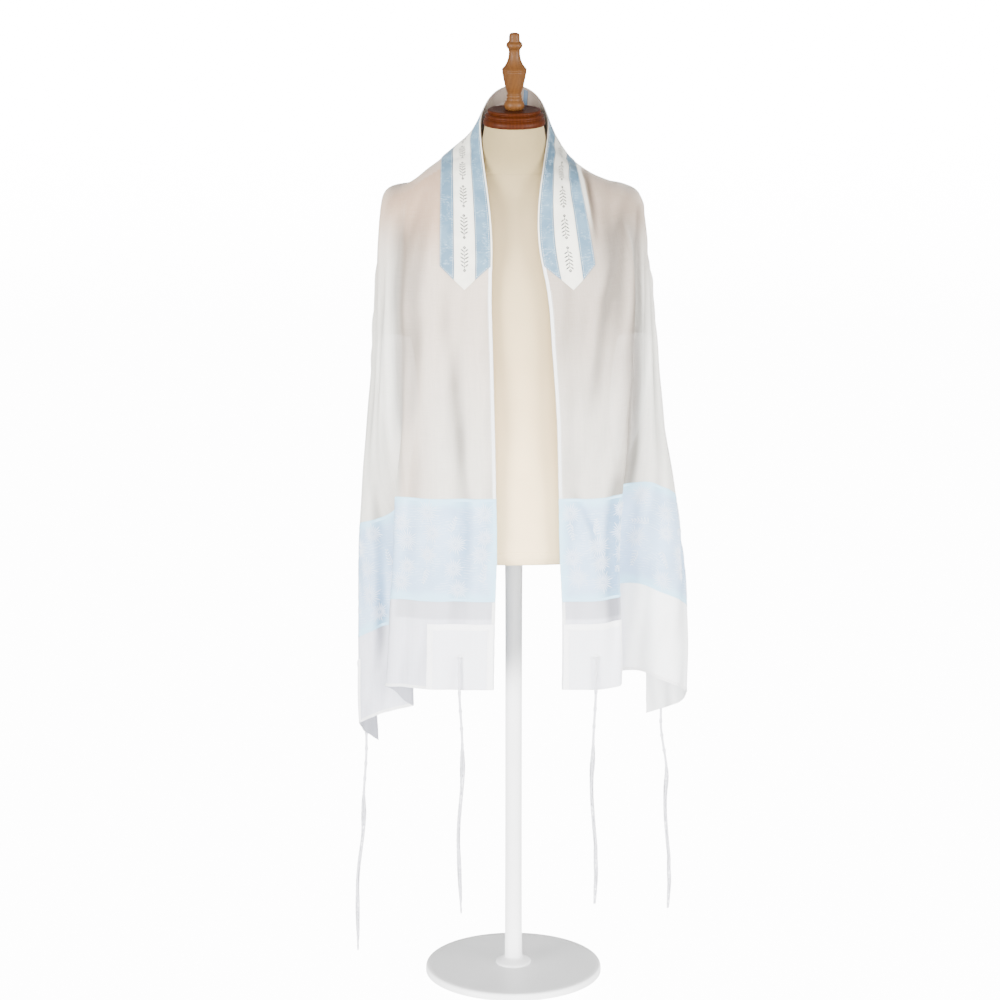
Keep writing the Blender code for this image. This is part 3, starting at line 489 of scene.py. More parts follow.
# Width, rise, then the s and t of each point of the line, all in millimetres.
CREASES = tuple(Crease(width, rise, tuple(line)) for width, rise, *line in (
    # left front: soft upright folds under the neck band and down the panel
    (11, -4.6, -420, 78, -620, 60, -760, 48, -880, 47, -1000, 50),
    (13, 3.0, -360, 118, -520, 106, -700, 100, -900, 98, -1050, 104),
    (9.5, -7.0, -300, 160, -360, 155, -550, 160, -660, 164, -780, 166),
    (10, 3.0, -320, 184, -500, 186, -680, 192),
    (11.5, -8.8, -740, 180, -850, 189, -950, 193, -1055, 193),
    (9, -6.8, -700, 262, -780, 283, -820, 296, -860, 309, -910, 321, -980, 328),
    (12, -3.4, -350, 215, -500, 225, -660, 240, -880, 250),
    (9, -2.2, -240, 112, -330, 138, -440, 142),
    # right front: the long soft fold from the neck band, and the shoulder's valley
    (11, -5.6, 270, 168, 310, 152, 370, 128, 430, 97, 500, 83, 600, 60),
    (12, 3.6, 320, 176, 420, 140, 520, 112, 640, 96),
    (6, -5.8, 165, 98, 190, 99, 222, 103, 280, 101, 340, 94),
    (10, -9.5, 250, 212, 300, 200, 370, 185, 450, 167, 510, 155, 580, 150, 680, 163, 780, 168),
    (10, 3.2, 520, 202, 600, 198, 700, 206),
    (10.5, -5.6, 360, 218, 420, 203, 480, 191, 580, 180),
    (10, -2.4, 400, 62, 500, 52, 660, 43),
    (6.5, -4.6, 735, 25, 750, 33, 768, 42, 800, 56, 870, 64),
    (18, -7.8, 700, 104, 780, 91, 860, 88, 930, 87, 1020, 92),
    (12, -3.0, 320, 232, 480, 230, 700, 222),
    # neck band: slanting wrinkles where it turns over the shoulders
    (8, -2.6, 128, 10, 156, 46, 178, 86),
    (8, 2.4, 152, 6, 184, 46, 206, 80),
    (8, -2.6, 178, 4, 208, 46, 236, 78),
    (8.5, -2.0, 214, 30, 246, 56, 290, 72),
    (8, -1.8, -150, 12, -168, 46, -182, 78),
    (8, 1.6, -185, 10, -205, 46, -222, 70),
    # shoulders: cloth gathers a little along the crest
    (9, 2.2, -100, 170, -220, 200, -340, 230),
    (10, -2.6, -140, 215, -270, 240, -420, 285),
    (9, 2.2, 120, 165, 230, 195, 360, 232),
    (10, -2.8, 150, 220, 290, 250, 440, 300),
    # sides
    (13, 4.0, -360, 330, -550, 345, -800, 350),
    (14, -4.6, -450, 420, -680, 425, -980, 418),
    (13, 4.2, 380, 340, 600, 350, 840, 346),
    (14, -4.8, 500, 430, 720, 436, 1000, 430),
    # back: slack runs across below the neck and down to the hem
    (12, -2.6, -130, 120, 0, 140, 120, 124),
    (13, 3.0, -170, 165, -20, 196, 150, 172),
    (14, 4.2, -30, 200, -50, 330, -60, 470),
    (13, -4.2, 70, 180, 100, 320, 120, 470),
    (13, -4.2, -140, 210, -170, 340, -200, 470),
    (12, 4.2, 160, 230, 190, 340, 230, 460),
))
# Slow unevenness all over: cycles per metre along s and along t, phase, height.
SLACK = (
    (1.7, 15.0, 0.4, 0.0010), (2.6, 24.0, 2.1, 0.0007), (5.2, 9.0, 4.0, 0.0006),
    (7.4, 31.0, 1.3, 0.0004), (11.0, 6.0, 5.2, 0.0003),
)
NECK_STIFFNESS = 0.25      # share of the slack that is left under the neck band
CREST_STIFFNESS = 0.35     # and towards the crest


def relief(s: Array, t: Array) -> Array:
    """Height of creases and slack: the creases' bells and slow sine waves, added.

    Args:
        s, t: cloth coordinates of one shape.

    Returns:
        Heights; the waves die down where the cloth is taut.
    """
    slack = sum(
        height * np.sin(TURN * (along * s + across * t) + phase + 3 * np.sin(4 * s))
        for along, across, phase, height in SLACK)
    clear = ease(0.07, 0.12, t + ease(0.35, 0.45, np.abs(s)))
    hanging = ease(0.20, 0.50, np.abs(s) + 0.3 * t)
    free = NECK_STIFFNESS + (1 - NECK_STIFFNESS) * clear
    slack = slack * free * (CREST_STIFFNESS + (1 - CREST_STIFFNESS) * hanging)
    return sum(crease.relief(s, t) for crease in CREASES) + slack


DRAPES: dict[Side, Drape] = {side: Drape(side) for side in Side}


def cloth_points(s: Array, t: Array) -> Array:
    """Middle surface of the whole shawl at signed s and t."""
    left, right = (DRAPES[side].points(np.abs(s), t) for side in Side)
    return np.where((s < 0)[..., None], left, right)


FORM_BELOW = (0.0, 0.004, 0.008, 0.013, 0.020, 0.030)   # where the form is looked for
FORM_REACH, SHOULDER_REACH = 0.034, 0.012               # gap that the form shows across
FORM_FADE = 1.6
# The last three are painted light and shade: less show-through on the upper left front, more on the
# shoulders, less on the lower inner edges.
PANEL_SHOW, LEFT_LIGHTER, SHOULDER_DEEPER, EDGE_LIGHTER = 0.95, 0.28, 0.25, 0.62


def show_through_and_light(points: Array, s: Array, t: Array) -> Array:
    """How much of the form shows through the cloth at each point, with painted light and shade.

    The gap is measured level with the point and a little below it: the
    distance from the axis less the form's own, whose section is a
    superellipse.  The front panel lies over the form as far as its side fold.
    On top of that comes painted light: less of the form on the upper left
    front and on the lower inner edges; and painted shade: more on the shoulders.

    Args:
        points: places on the cloth, (n, 3).
        s, t: how far each is from the nape and from the neck edge.

    Returns:
        1 where the form is close behind, fading to 0 where it isn't, then scaled by the painted
        light and shade, so a little over 1 on the shoulders.
    """
    x, y, z = points.T
    gaps: list[Array] = []
    for drop in FORM_BELOW:
        wide, front, back, power = (FORM.read(name, z - drop) for name in FORM.columns.split()[1:])
        depth = np.where(y < 0, front, back)
        share = ((np.abs(x) / wide) ** power + (np.abs(y) / depth) ** power) ** (1 / power)
        gap = np.maximum(np.hypot(x, y) * (1 - 1 / np.maximum(share, 0.2)), 0.0)
        gaps.append(np.hypot(gap, drop))
    reach = FORM_REACH + SHOULDER_REACH * ease(1.22, 1.30, z)
    close = np.exp(-(np.min(gaps, axis=0) / reach) ** FORM_FADE)
    panel = (1 - ease(0.150, 0.176, t)) * (y < -0.02) * PANEL_SHOW
    # Painted light on the upper left front and the lower inner edges, painted shade on the
    # shoulders.
    lighter = (1 - ease(-0.03, 0.03, x)) * (y < 0.05) * (1 - ease(1.18, 1.28, z))
    deeper = 1 + SHOULDER_DEEPER * ease(1.22, 1.31, z)
    edge = ease(0.42, 0.70, np.abs(s)) * (1 - ease(0.085, 0.150, t)) * (y < 0)
    shown = np.maximum(close, panel) * (1 - LEFT_LIGHTER * lighter) * deeper
    return shown * (1 - EDGE_LIGHTER * edge) * ease(0.715, 0.735, z)


# -------------------------------------------------------------------- meshing
SHARP_ANGLE = math.radians(50)


def mesh_object(name: str, points: Array, faces: Sequence[Array], uv: Array) -> Thing:
    """Object from whole arrays, at the origin and shaded smooth but for sharp edges.

    Args:
        name: object and mesh name.
        points: vertices, (n, 3).
        faces: arrays of vertex numbers, one array for each corner count.
        uv: a pair for each vertex, read as the map called cloth.

    Returns:
        The linked object.
    """
    mesh = bpy.data.meshes.new(name)
    corners = np.concatenate([part.ravel() for part in faces]).astype(np.int32)
    totals = np.concatenate([np.full(len(part), part.shape[1]) for part in faces]).astype(np.int32)
    starts = np.concatenate([[0], np.cumsum(totals)[:-1]]).astype(np.int32)
    mesh.vertices.add(len(points))
    mesh.vertices.foreach_set("co", np.ascontiguousarray(points, np.float32).ravel())
    mesh.loops.add(len(corners))
    mesh.loops.foreach_set("vertex_index", corners)
    mesh.polygons.add(len(totals))
    mesh.polygons.foreach_set("loop_start", starts)
    mesh.polygons.foreach_set("loop_total", totals)
    mesh.update(calc_edges=True)
    layer = mesh.uv_layers.new(name="cloth")
    layer.data.foreach_set("uv", np.ascontiguousarray(uv[corners], np.float32).ravel())
    mesh.validate()
    mesh.shade_smooth()
    mesh.set_sharp_from_angle(angle=SHARP_ANGLE)
    thing = bpy.data.objects.new(name, mesh)
    bpy.context.scene.collection.objects.link(thing)
    return thing


def grid_quads(rows: int, columns: int, closed: bool = False) -> Array:
    """Quads of a grid of points.

    Args:
        rows, columns: size of the grid.
        closed: whether the last column joins the first.

    Returns:
        Four vertex numbers for each quad.
    """
    j = np.arange(columns if closed else columns - 1)[None]
    near, after = np.arange(rows - 1)[:, None] * columns, (j + 1) % columns
    corners = (near + j, near + columns + j, near + columns + after, near + after)
    return np.stack(corners, -1).reshape(-1, 4)


def shell(outer: Array, inner: Array) -> tuple[Array, Array]:
    """Closed thin shell between two grids of points.

    Args:
        outer, inner: grids of one shape, (rows, columns, 3).

    Returns:
        Vertices and quads: the outer grid, the inner one turned round, and a
        rim along the four sides.
    """
    rows, columns = outer.shape[:2]
    count = rows * columns
    number = np.arange(count).reshape(rows, columns)
    top = grid_quads(rows, columns)
    loop = np.concatenate([number[0], number[1:, -1], number[-1, -2::-1], number[-2:0:-1, 0]])
    after = np.roll(loop, -1)
    rim = np.stack([loop, after, after + count, loop + count], -1)
    points = np.concatenate([outer.reshape(-1, 3), inner.reshape(-1, 3)])
    return points, np.concatenate([top, top[:, ::-1] + count, rim])


def skin(rings: Array, u: Array, v: Array, poles: Sequence[Array], flip: bool = False) -> Skin:
    """Surface round rings of points, with a fan from an end ring to each pole.

    Args:
        rings: points, (rings, sides, 3).
        u, v: coordinates round and along, that broadcast to the rings.
        poles: middle of the first ring's end and, where it is closed, the last's.
        flip: turn the faces round, for rings that run the other way.

    Returns:
        Vertices, quads, triangles, and a coordinate pair for each vertex.
    """
    count, sides = rings.shape[:2]
    k = np.arange(sides)
    after, last, pole = (k + 1) % sides, (count - 1) * sides, 0 * k + count * sides
    fans = [np.stack([k, after, pole], -1), np.stack([last + after, last + k, pole + 1], -1)]
    uv = np.stack([np.broadcast_to(u, (count, sides)), np.broadcast_to(v, (count, sides))], -1)
    ends, way = uv[[0, -1], 0] * (0, 1), -1 if flip else 1
    return (
        np.concatenate([rings.reshape(-1, 3), poles]), grid_quads(count, sides, True)[:, ::way],
        np.concatenate(fans[:len(poles)])[:, ::way],
        np.concatenate([uv.reshape(-1, 2), ends[:len(poles)]]))


def skinned(name: str, made: Skin) -> Thing:
    """Object from a skin's arrays."""
    return mesh_object(name, made[0], made[1:3], made[3])


def doubled(s: Array, t: Array) -> Array:
    """Map coordinates of a shell: t and s for the outer grid and again for the inner."""
    return np.tile(np.stack([t, s], -1).reshape(-1, 2), (2, 1))


# Painted shade that the cloth carries as an attribute: troughs of the relief, the outer side panels
# and the cloth's inner side.
HOLLOW_DEPTH = 0.0060      # a trough this deep takes the full shade of the cloth
PANEL_SHADE = {Side.LEFT: (0.60, 0.10), Side.RIGHT: (0.92, 0.66)}   # above, and lower down
INSIDE_SHADE = (0.95, 0.20)                     # of the left end's inner side, and the rest's


@dataclass
class Cloth:
    """A grid of the draped surface, with creases, that pieces can lie on."""

    s_lines: Array
    t_lines: Array = field(default_factory=lambda: np.concatenate(
        [spread(0.0, 0.130, 0.0030), spread(0.130, CLOTH_WIDTH, 0.0036)[1:]]))

    def __post_init__(self) -> None:
        """Work out the points, the normals and the painted shade of the grid."""
        self.s, self.t = s, t = np.meshgrid(self.s_lines, self.t_lines, indexing="ij")
        base, height = cloth_points(s, t), relief(s, t)
        # Painted shade: the outer side panels, darker on the right and fading lower down, plus
        # every trough of the relief.
        outer = ease(0.26, 0.36, np.abs(s)) * ease(0.085, 0.125, t) * (1 - ease(0.165, 0.190, t))
        lower = ease(0.46, 0.72, np.abs(s))
        left, right = (high + (low - high) * lower for high, low in PANEL_SHADE.values())
        panel = np.where(s < 0, left, right) * outer * (np.abs(s) < BAND_TOP_S)
        self.painted_shade = np.clip(panel - height / HOLLOW_DEPTH, 0.0, 1.0)
        self.points = base + self.outward(base) * height[..., None]
        self.normals = self.outward(self.points)

    @staticmethod
    def outward(grid: Array) -> Array:
        """Unit normals of a grid of points, away from the form."""
        return unit(np.cross(np.gradient(grid, axis=0), np.gradient(grid, axis=1)))

    def on(self, s: Reading, t: Reading, lift: Reading) -> Array:
        """Points that lie on the cloth, read bilinearly and extended past its edges.

        Args:
            s, t: cloth coordinates.
            lift: distance out from the middle surface.

        Returns:
            The points.
        """
        s, t, lift = np.broadcast_arrays(s, t, lift)
        row, column = cell(s, self.s_lines), cell(t, self.t_lines)
        normal = unit(between(self.normals, row, column))
        return between(self.points, row, column) + normal * lift[..., None]

    def sheet(self, name: str) -> Thing:
        """The whole grid as a closed shell, with what shows through it and its painted light and
        shade as attributes.

        Args:
            name: object name.

        Returns:
            The object.
        """
        half = self.normals * CLOTH_WALL / 2
        points, quads = shell(self.points + half, self.points - half)
        uv = doubled(self.s, self.t)
        piece = mesh_object(name, points, [quads], uv)
        t, s = uv.T
        # Painted shade on the cloth's inner side, strongest at the left end.
        inside = np.where(s < -BAND_BOTTOM_S, *INSIDE_SHADE) * (np.arange(len(s)) >= len(s) // 2)
        painted_shade = np.clip(np.tile(self.painted_shade.ravel(), 2) + inside, 0.0, 1.0)
        for key, values in (("form_show_and_light", show_through_and_light(points, s, t)), ("painted_shade", painted_shade)):
            made = piece.data.attributes.new(key, "FLOAT", "POINT")
            made.data.foreach_set("value", values.astype(np.float32))
        return piece

    def layer(self, name: str, s: Array, t: Array, low: float, high: Reading) -> Thing:
        """A closed piece that lies on the cloth at grids of s and t, from lift low to high."""
        points, quads = shell(self.on(s, t, high), self.on(s, t, low))
        return mesh_object(name, points, [quads], doubled(s, t))


# ------------------------------------------------------------------ materials
Number = float | int
Colour = tuple[float, float, float]


class Value:
    """An output socket of a graph; arithmetic on it adds Math nodes."""

    def __init__(self, graph: "Graph", socket: bpy.types.NodeSocket) -> None:
        """Keep the socket, and the graph that its nodes go into."""
        self.graph, self.socket = graph, socket

    def math(self, operation: str, *others: "Value | Number") -> "Value":
        """A Math node with this value first."""
        values = dict(enumerate((self, *others)))
        return self.graph.node("ShaderNodeMath", {"operation": operation}, values)

    __add__ = __radd__ = partialmethod(math, "ADD")
    __sub__ = partialmethod(math, "SUBTRACT")
    __mul__ = __rmul__ = partialmethod(math, "MULTIPLY")

    def __rsub__(self, other: Number) -> "Value":
        """A number less this value."""
        return self * -1.0 + other

    def least(self, other: "Value | Number") -> "Value":
        """The smaller of the two."""
        return self.math("MINIMUM", other)

    def wave(self, period: float, shift: "Value | Number" = 0.0) -> "Value":
        """Sine of this length, 0 to 1, once in every period."""
        return (self * (TURN / period) + shift).math("SINE") * 0.5 + 0.5

    def rise(self, low: float, high: float) -> "Value":
        """Smooth step from 0 at low to 1 at high."""
        values = {"Value": self, "From Min": low, "From Max": high}
        return self.graph.node("ShaderNodeMapRange", {"interpolation_type": "SMOOTHSTEP"}, values)

    def bump(self, low: float, full: float, over: float, high: float) -> "Value":
        """1 between full and over, and 0 below low and above high."""
        return self.rise(low, full) * (1.0 - self.rise(over, high))

    def part(self, axis: str) -> "Value":
        """One component of a vector."""
        return self.graph.node("ShaderNodeSeparateXYZ", {}, {"Vector": self}, axis)

    def scaled(self, *by: float) -> "Value":
        """This vector times another, component by component."""
        return self.graph.node("ShaderNodeVectorMath", {"operation": "MULTIPLY"}, {0: self, 1: by})


class Graph:
    """The node tree of one new material."""

    def __init__(self, name: str) -> None:
        """Start with the plain shader, and the cloth's and the object's coordinates.

        Args:
            name: the material's.
        """
        self.material = bpy.data.materials.new(name)
        self.material.use_nodes = True
        self.tree = self.material.node_tree
        self.shader = self.tree.nodes["Principled BSDF"]
        self.uv = self.node("ShaderNodeUVMap", {"uv_map": "cloth"}, {})
        self.across, self.along = self.uv.part("X"), self.uv.part("Y")
        self.place = self.node("ShaderNodeTexCoord", {}, {}, "Object")

    def node(self, kind: str, settings: dict[str, object], values: dict[int | str, object],
             output: int | str = 0) -> Value:
        """Make a node: its settings first, then its values and links.

        Args:
            kind: node type.
            settings: its properties.
            values: input sockets, by number or name, and what goes in.
            output: the output to hand back.

        Returns:
            That output as a Value.
        """
        made = self.tree.nodes.new(kind)
        for key, setting in settings.items():
            setattr(made, key, setting)
        for key, value in values.items():
            self.feed(made.inputs[key], value)
        return Value(self, made.outputs[output])

    def feed(self, socket: bpy.types.NodeSocket, value: object) -> None:
        """Link a Value, or set a constant.

        Args:
            socket: the input.
            value: what goes in; three numbers become an opaque colour.
        """
        if isinstance(value, Value):
            self.tree.links.new(value.socket, socket)
        else:
            short = socket.type == "RGBA" and len(value) == 3
            socket.default_value = (*value, 1.0) if short else value

    def mix(self, factor: Value | float, first: Value | Colour, second: Value | Colour,
            blend: str = "MIX") -> Value:
        """Blend two colours."""
        values = {"Factor": factor, 6: first, 7: second}
        return self.node("ShaderNodeMix", {"data_type": "RGBA", "blend_type": blend}, values, 2)

    def attribute(self, name: str) -> Value:
        """A number kept on the mesh's points."""
        return self.node("ShaderNodeAttribute", {"attribute_name": name}, {}, "Fac")

    def folded(self, tone: Value, shade: Colour) -> Value:
        """A colour multiplied by a shade colour where the mesh's painted shade attribute marks a
        trough, a shaded side panel or the cloth's inner side.
        """
        return self.mix(self.attribute("painted_shade"), tone, self.mix(1.0, tone, shade, "MULTIPLY"))

    def noise(self, at: Value, scale: float, detail: float = 2.0, roughness: float = 0.5) -> Value:
        """Noise, about 0.5."""
        values = {"Vector": at, "Scale": scale, "Detail": detail, "Roughness": roughness}
        return self.node("ShaderNodeTexNoise", {}, values)

    def streaks(self, across: float, along: float, detail: float = 2.0) -> Value:
        """Noise drawn out by its two scales across and along the cloth."""
        return self.noise(self.uv.scaled(across, along, 1.0), 1.0, detail)

    def slubs(self, fine: float, long: float) -> Value:
        """Uneven threads both ways: streaks along and across, averaged."""
        return (self.streaks(fine, long) + self.streaks(long, fine)) * 0.5

    def clouds(self, scale: float, low: float, high: float) -> Value:
        """Slow patches all over the object, 0 to 1."""
        return self.noise(self.place, scale, 3.0).rise(low, high)

    def finish(self, height: Value, strength: float, distance: float,
               **values: object) -> bpy.types.Material:
        """Put a relief and the rest on the shader.

        Args:
            height: the relief, with its strength and its distance.
            strength, distance: settings of the Bump node.
            values: the shader's inputs, with _ for a space.

        Returns:
            The material.
        """
        relief_values = {"Strength": strength, "Distance": distance, "Height": height}
        values["Normal"] = self.node("ShaderNodeBump", {}, relief_values)
        for key, value in values.items():
            self.feed(self.shader.inputs[key.replace("_", " ")], value)
        return self.material


@dataclass(frozen=True)
class Finish:
    """What every finish has: a name, a colour, and the shade that it varies to."""

    name: str
    colour: Colour
    shade: Colour


@dataclass(frozen=True)
class Weave(Finish):
    """Thin woven cloth: threads both ways, slubs, and as sheer as asked."""

    alpha: float = 1.0
    roughness: float = 0.7
    sheen: float = 0.1
    # show: the form's tone through the cloth, a lighter copy for the left as painted light and a
    # darker one for the right as painted shade.
    show: tuple[Colour, Colour] | None = None      # left, right
    # the nape's inside: the neck band's tone seen through the cloth, darkened further as painted
    # shade.
    band_through_and_shade: Colour | None = None
    # fold: colour of the painted shade in troughs, on the shaded side panels and on the cloth's
    # inner side.
    fold: Colour | None = None
    # head paints the right end's flap lighter as painted backlight, and the doubled cloth under the
    # band darker, partly its double layer and partly painted shade.
    head: bool = False             # double cloth under the band, and a lighter flap
    pitch: float = 0.0009          # of the threads

    def lit(self, light: float) -> Colour:
        """The cloth's colour under more or less light from behind it."""
        red, green, blue = (min(part * light, 0.98) for part in self.colour)
        return red, green, blue

    def material(self) -> bpy.types.Material:
        """Threads are sines of the cloth's two coordinates; slubs are long noise.

        The form's tone comes through where the mesh's nearness attribute says
        that the cloth lies close to the form: a lighter copy on the left as
        painted light, a darker one on the right as painted shade.  The nape's
        inside takes the neck band's tone seen through the cloth, darkened
        further as painted shade.  Troughs, shaded panels and the inner side take
        the fold colour as painted shade, and the right end's flap is painted
        lighter as if lit from behind.

        Returns:
            The material.
        """
        graph = Graph(self.name)
        across, along = graph.across, graph.along
        slubs = graph.slubs(900.0, 40.0)
        weave = across.wave(self.pitch) * along.wave(self.pitch) + slubs
        cloud, streak = graph.noise(graph.place, 9.0), graph.streaks(210.0, 5.0)
        shade = (slubs * 0.5 + cloud * 0.3 + streak * 0.5).rise(0.45, 0.85)
        tone = graph.mix(shade, self.shade, self.colour)
        # The form's tone through the cloth, lighter on the left as painted light, darker on the
        # right as painted shade.
        if self.show:
            near = (graph.attribute("form_show_and_light") * (0.95 - slubs * 0.25)).least(1.0)
            tone = graph.mix(near, tone, graph.mix(along.rise(-0.20, 0.02), *self.show))
        # The nape's inside: the neck band seen through the cloth, darkened further as painted
        # shade.
        if self.band_through_and_shade:
            middle = 1.0 - along.math("ABSOLUTE").rise(0.035, 0.080)
            inside = (1.0 - across.rise(0.083, 0.087)) * middle
            tone = graph.mix(inside * 0.95, tone, self.band_through_and_shade)
            seam = across.bump(0.0838, 0.0850, 0.0915, 0.0975) * along.bump(0.10, 0.16, 0.27, 0.34)
            tone = graph.mix(seam * 0.85, tone, self.colour)
        # Doubled cloth darker, partly its double layer and partly painted shade; the right flap
        # lighter as painted backlight.
        if self.head:
            down = along.math("ABSOLUTE") - BAND_BOTTOM_S
            doubled_cloth = (1.0 - down.rise(0.027, 0.033)) * (1.0 - across.rise(0.160, 0.176))
            tone = graph.mix(doubled_cloth * 0.72, tone, self.lit(0.60))
            flap = across.rise(0.165, 0.190) * along.rise(-0.1, 0.1)
            tone = graph.mix(flap, tone, self.lit(1.34))
        # Painted shade from the mesh's shade attribute.
        if self.fold:
            tone = graph.folded(tone, self.fold)
        values: dict[str, object] = {}
        if self.alpha < 1.0:
            values["Alpha"] = (weave * 0.22 + (self.alpha - 0.16)).least(1.0)
        return graph.finish(
            weave, 0.35, 0.00012, Base_Color=tone, Roughness=slubs * 0.16 + (self.roughness - 0.08),
            Sheen_Weight=self.sheen, Sheen_Roughness=0.5, **values)


@dataclass(frozen=True)
class Satin(Finish):
    """Glossy ribbon with a fine rib across and small lighter woven marks."""

    mark: Colour | None = None
    pitch: float = 0.0008          # of the rib
    dash: float = 0.0046           # of the marks, along the cloth
    zigzag: float = 0.0075         # and across it
    # dimmed: painted shade on the ribbons where they turn over the right shoulder.
    dimmed: float = 0.40           # share of the shade where the ribbon turns over a shoulder

    def material(self) -> bpy.types.Material:
        """Marks are short zigzag dashes, kept to patches of slow noise.

        Returns:
            The material.
        """
        graph = Graph(self.name)
        across, along = graph.across, graph.along
        dash = along.wave(self.dash, across.wave(self.zigzag) * 9.0).rise(0.62, 0.86)
        where = graph.noise(graph.uv, 62.0).rise(0.46, 0.60)
        marks = dash * where * graph.streaks(210.0, 330.0, 1.0).rise(0.40, 0.62)
        marks = marks * (1.0 if self.mark else 0.0)
        rib = along.wave(self.pitch)
        ground = graph.mix(graph.clouds(34.0, 0.36, 0.66), self.shade, self.colour)
        # Painted shade where the ribbons turn over the right shoulder.
        red, green, blue = self.shade
        dimmer = (red * self.dimmed, green * self.dimmed, blue * self.dimmed)
        ground = graph.mix(along.bump(0.040, 0.090, 0.180, 0.260) * 0.85, ground, dimmer)
        return graph.finish(
            rib + marks * 2.0, 0.30, 0.00010,
            Base_Color=graph.mix(marks, ground, self.mark or self.colour),
            Roughness=rib * 0.10 + 0.37 - marks * 0.10,
            Specular_IOR_Level=0.16, Sheen_Weight=0.05, Sheen_Roughness=0.40)


@dataclass(frozen=True)
class Jacquard(Finish):
    """Pale damask ground: tone-on-tone hatching inside a clearer rim."""

    light: Colour
    rim: Colour
    # fold: colour of the painted shade in the band's troughs and on its inner side.
    fold: Colour
    pitch: float = 0.0010          # of the twill
    hatching: float = 0.0042       # from line to line
    sway: float = 0.0520           # of the hatching's slow waves
    rim_width: Row = (0.005, 0.021)

    def material(self) -> bpy.types.Material:
        """Hatching comes and goes in patches over a fine twill; the band's rim is plain.

        Returns:
            The material.
        """
        graph = Graph(self.name)
        across, along = graph.across, graph.along
        down = along.math("ABSOLUTE")
        bend = graph.noise(graph.uv, 24.0)
        swayed = down + bend * 0.010 + across.wave(self.sway) * 0.0030
        hatch = swayed.wave(self.hatching).rise(0.50, 0.88)
        broken = graph.streaks(120.0, 300.0, 1.0).rise(0.36, 0.60)
        patch = graph.noise(graph.uv, 34.0).rise(0.40, 0.60)
        gap = (down - BAND_TOP_S).least(BAND_BOTTOM_S - down)
        gap = gap.least(across).least(CLOTH_WIDTH - across)
        rim = 1.0 - (gap + (bend - 0.5) * 0.020).rise(*self.rim_width)
        figure = hatch * broken * patch * (1.0 - rim * 0.8)
        twill = (across + along).wave(self.pitch)
        ground = graph.mix(graph.clouds(16.0, 0.36, 0.66), self.shade, self.colour)
        tone = graph.mix(figure * 0.6, graph.mix(rim, ground, self.rim), self.light)
        # Painted shade in the troughs and on the inner side, by the mesh's shade attribute.
        return graph.finish(
            twill + figure * 2.2, 0.32, 0.00012, Base_Color=graph.folded(tone, self.fold),
            Roughness=twill * 0.10 + 0.55 - figure * 0.12, Sheen_Weight=0.05, Sheen_Roughness=0.45)


@dataclass(frozen=True)
class Thread(Finish):
    """Spun thread: plies that slant round the strand."""

    ply: float = 0.0007
    roughness: float = 0.6

    def material(self) -> bpy.types.Material:
        """Plies are a sine of the two cloth coordinates added together.

        Returns:
            The material.
        """
        graph = Graph(self.name)
        ply = (graph.across + graph.along).wave(self.ply)
        fuzz = graph.noise(graph.place, 900.0)
        return graph.finish(
            ply + fuzz * 0.5, 0.5, 0.00015,
            Base_Color=graph.mix(ply * 0.7 + fuzz * 0.3, self.shade, self.colour),
            Roughness=fuzz * 0.2 + (self.roughness - 0.1), Sheen_Weight=0.3, Sheen_Roughness=0.4)


@dataclass(frozen=True)
class Linen(Finish):
    """Natural linen stretched over the form."""

    fleck: Colour
    painted_neck_shade: Colour
    pitch: float = 0.0011          # of the threads

    def material(self) -> bpy.types.Material:
        """Uneven threads, darker flecks where slubs cross, and painted shade that deepens upwards
        to the neck.

        Returns:
            The material.
        """
        graph = Graph(self.name)
        slubs = graph.slubs(1100.0, 45.0)
        threads = graph.across.wave(self.pitch) * graph.along.wave(self.pitch)
        ground = graph.mix(graph.clouds(7.0, 0.34, 0.68), self.shade, self.colour)
        # Painted shade: the linen darkens upwards, most at the neck inside the collar.
        height = graph.place.part("Z")
        deeper = height.rise(0.82, 1.22) * 0.50 + height.rise(1.26, 1.40) * 0.48
        ground = graph.mix(deeper, ground, self.painted_neck_shade)
        return graph.finish(
            threads + slubs * 1.6, 0.45, 0.00020,
            Base_Color=graph.mix(slubs.rise(0.58, 0.78) * 0.45, ground, self.fleck),
            Roughness=slubs * 0.2 + 0.72, Sheen_Weight=0.08, Sheen_Roughness=0.5)


@dataclass(frozen=True)
class Wood(Finish):
    """Turned and varnished wood with grain along the axis."""

    coat: float
    roughness: float
    grain: float
    gloss: float
    layer: float = 0.0062          # of the grain
    turning: float = 0.0013        # from one mark of the lathe to the next

    def material(self) -> bpy.types.Material:
        """Grain: noise stretched upwards bends fine layers; pores are short streaks.

        Returns:
            The material.
        """
        graph = Graph(self.name)
        place = graph.place
        bend = graph.noise(place.scaled(1.0, 1.0, 0.12), self.grain, 4.0, 0.6)
        layers = (place.part("X") + place.part("Y") * 0.35 + bend * 0.035).wave(self.layer)
        pores = graph.noise(place.scaled(1.0, 1.0, 0.05), 900.0).rise(0.52, 0.74)
        tone = (layers * 0.26 + bend * 0.90 - pores * 0.22).rise(0.10, 0.95)
        return graph.finish(
            pores * -0.5 + place.part("Z").wave(self.turning) * 0.12, 0.25, 0.00015,
            Base_Color=graph.mix(tone, self.shade, self.colour),
            Roughness=pores * 0.14 + self.roughness, Coat_Weight=self.coat, Coat_Roughness=0.16,
            Specular_IOR_Level=self.gloss)


@dataclass(frozen=True)
class Paint(Finish):
    """Powder-coated metal, with a faint orange peel and scuffs."""

    roughness: float = 0.42
    scale: float = 420.0
    glow: float = 0.0

    def material(self) -> bpy.types.Material:
        """Fine noise for the peel, slow noise for the tone.

        Returns:
            The material.
        """
        graph = Graph(self.name)
        peel = graph.noise(graph.place, self.scale)
        return graph.finish(
            peel, 0.18, 0.0002,
            Base_Color=graph.mix(graph.clouds(11.0, 0.34, 0.66), self.shade, self.colour),
            Roughness=peel * 0.16 + (self.roughness - 0.06),
            Emission_Color=self.colour, Emission_Strength=self.glow)
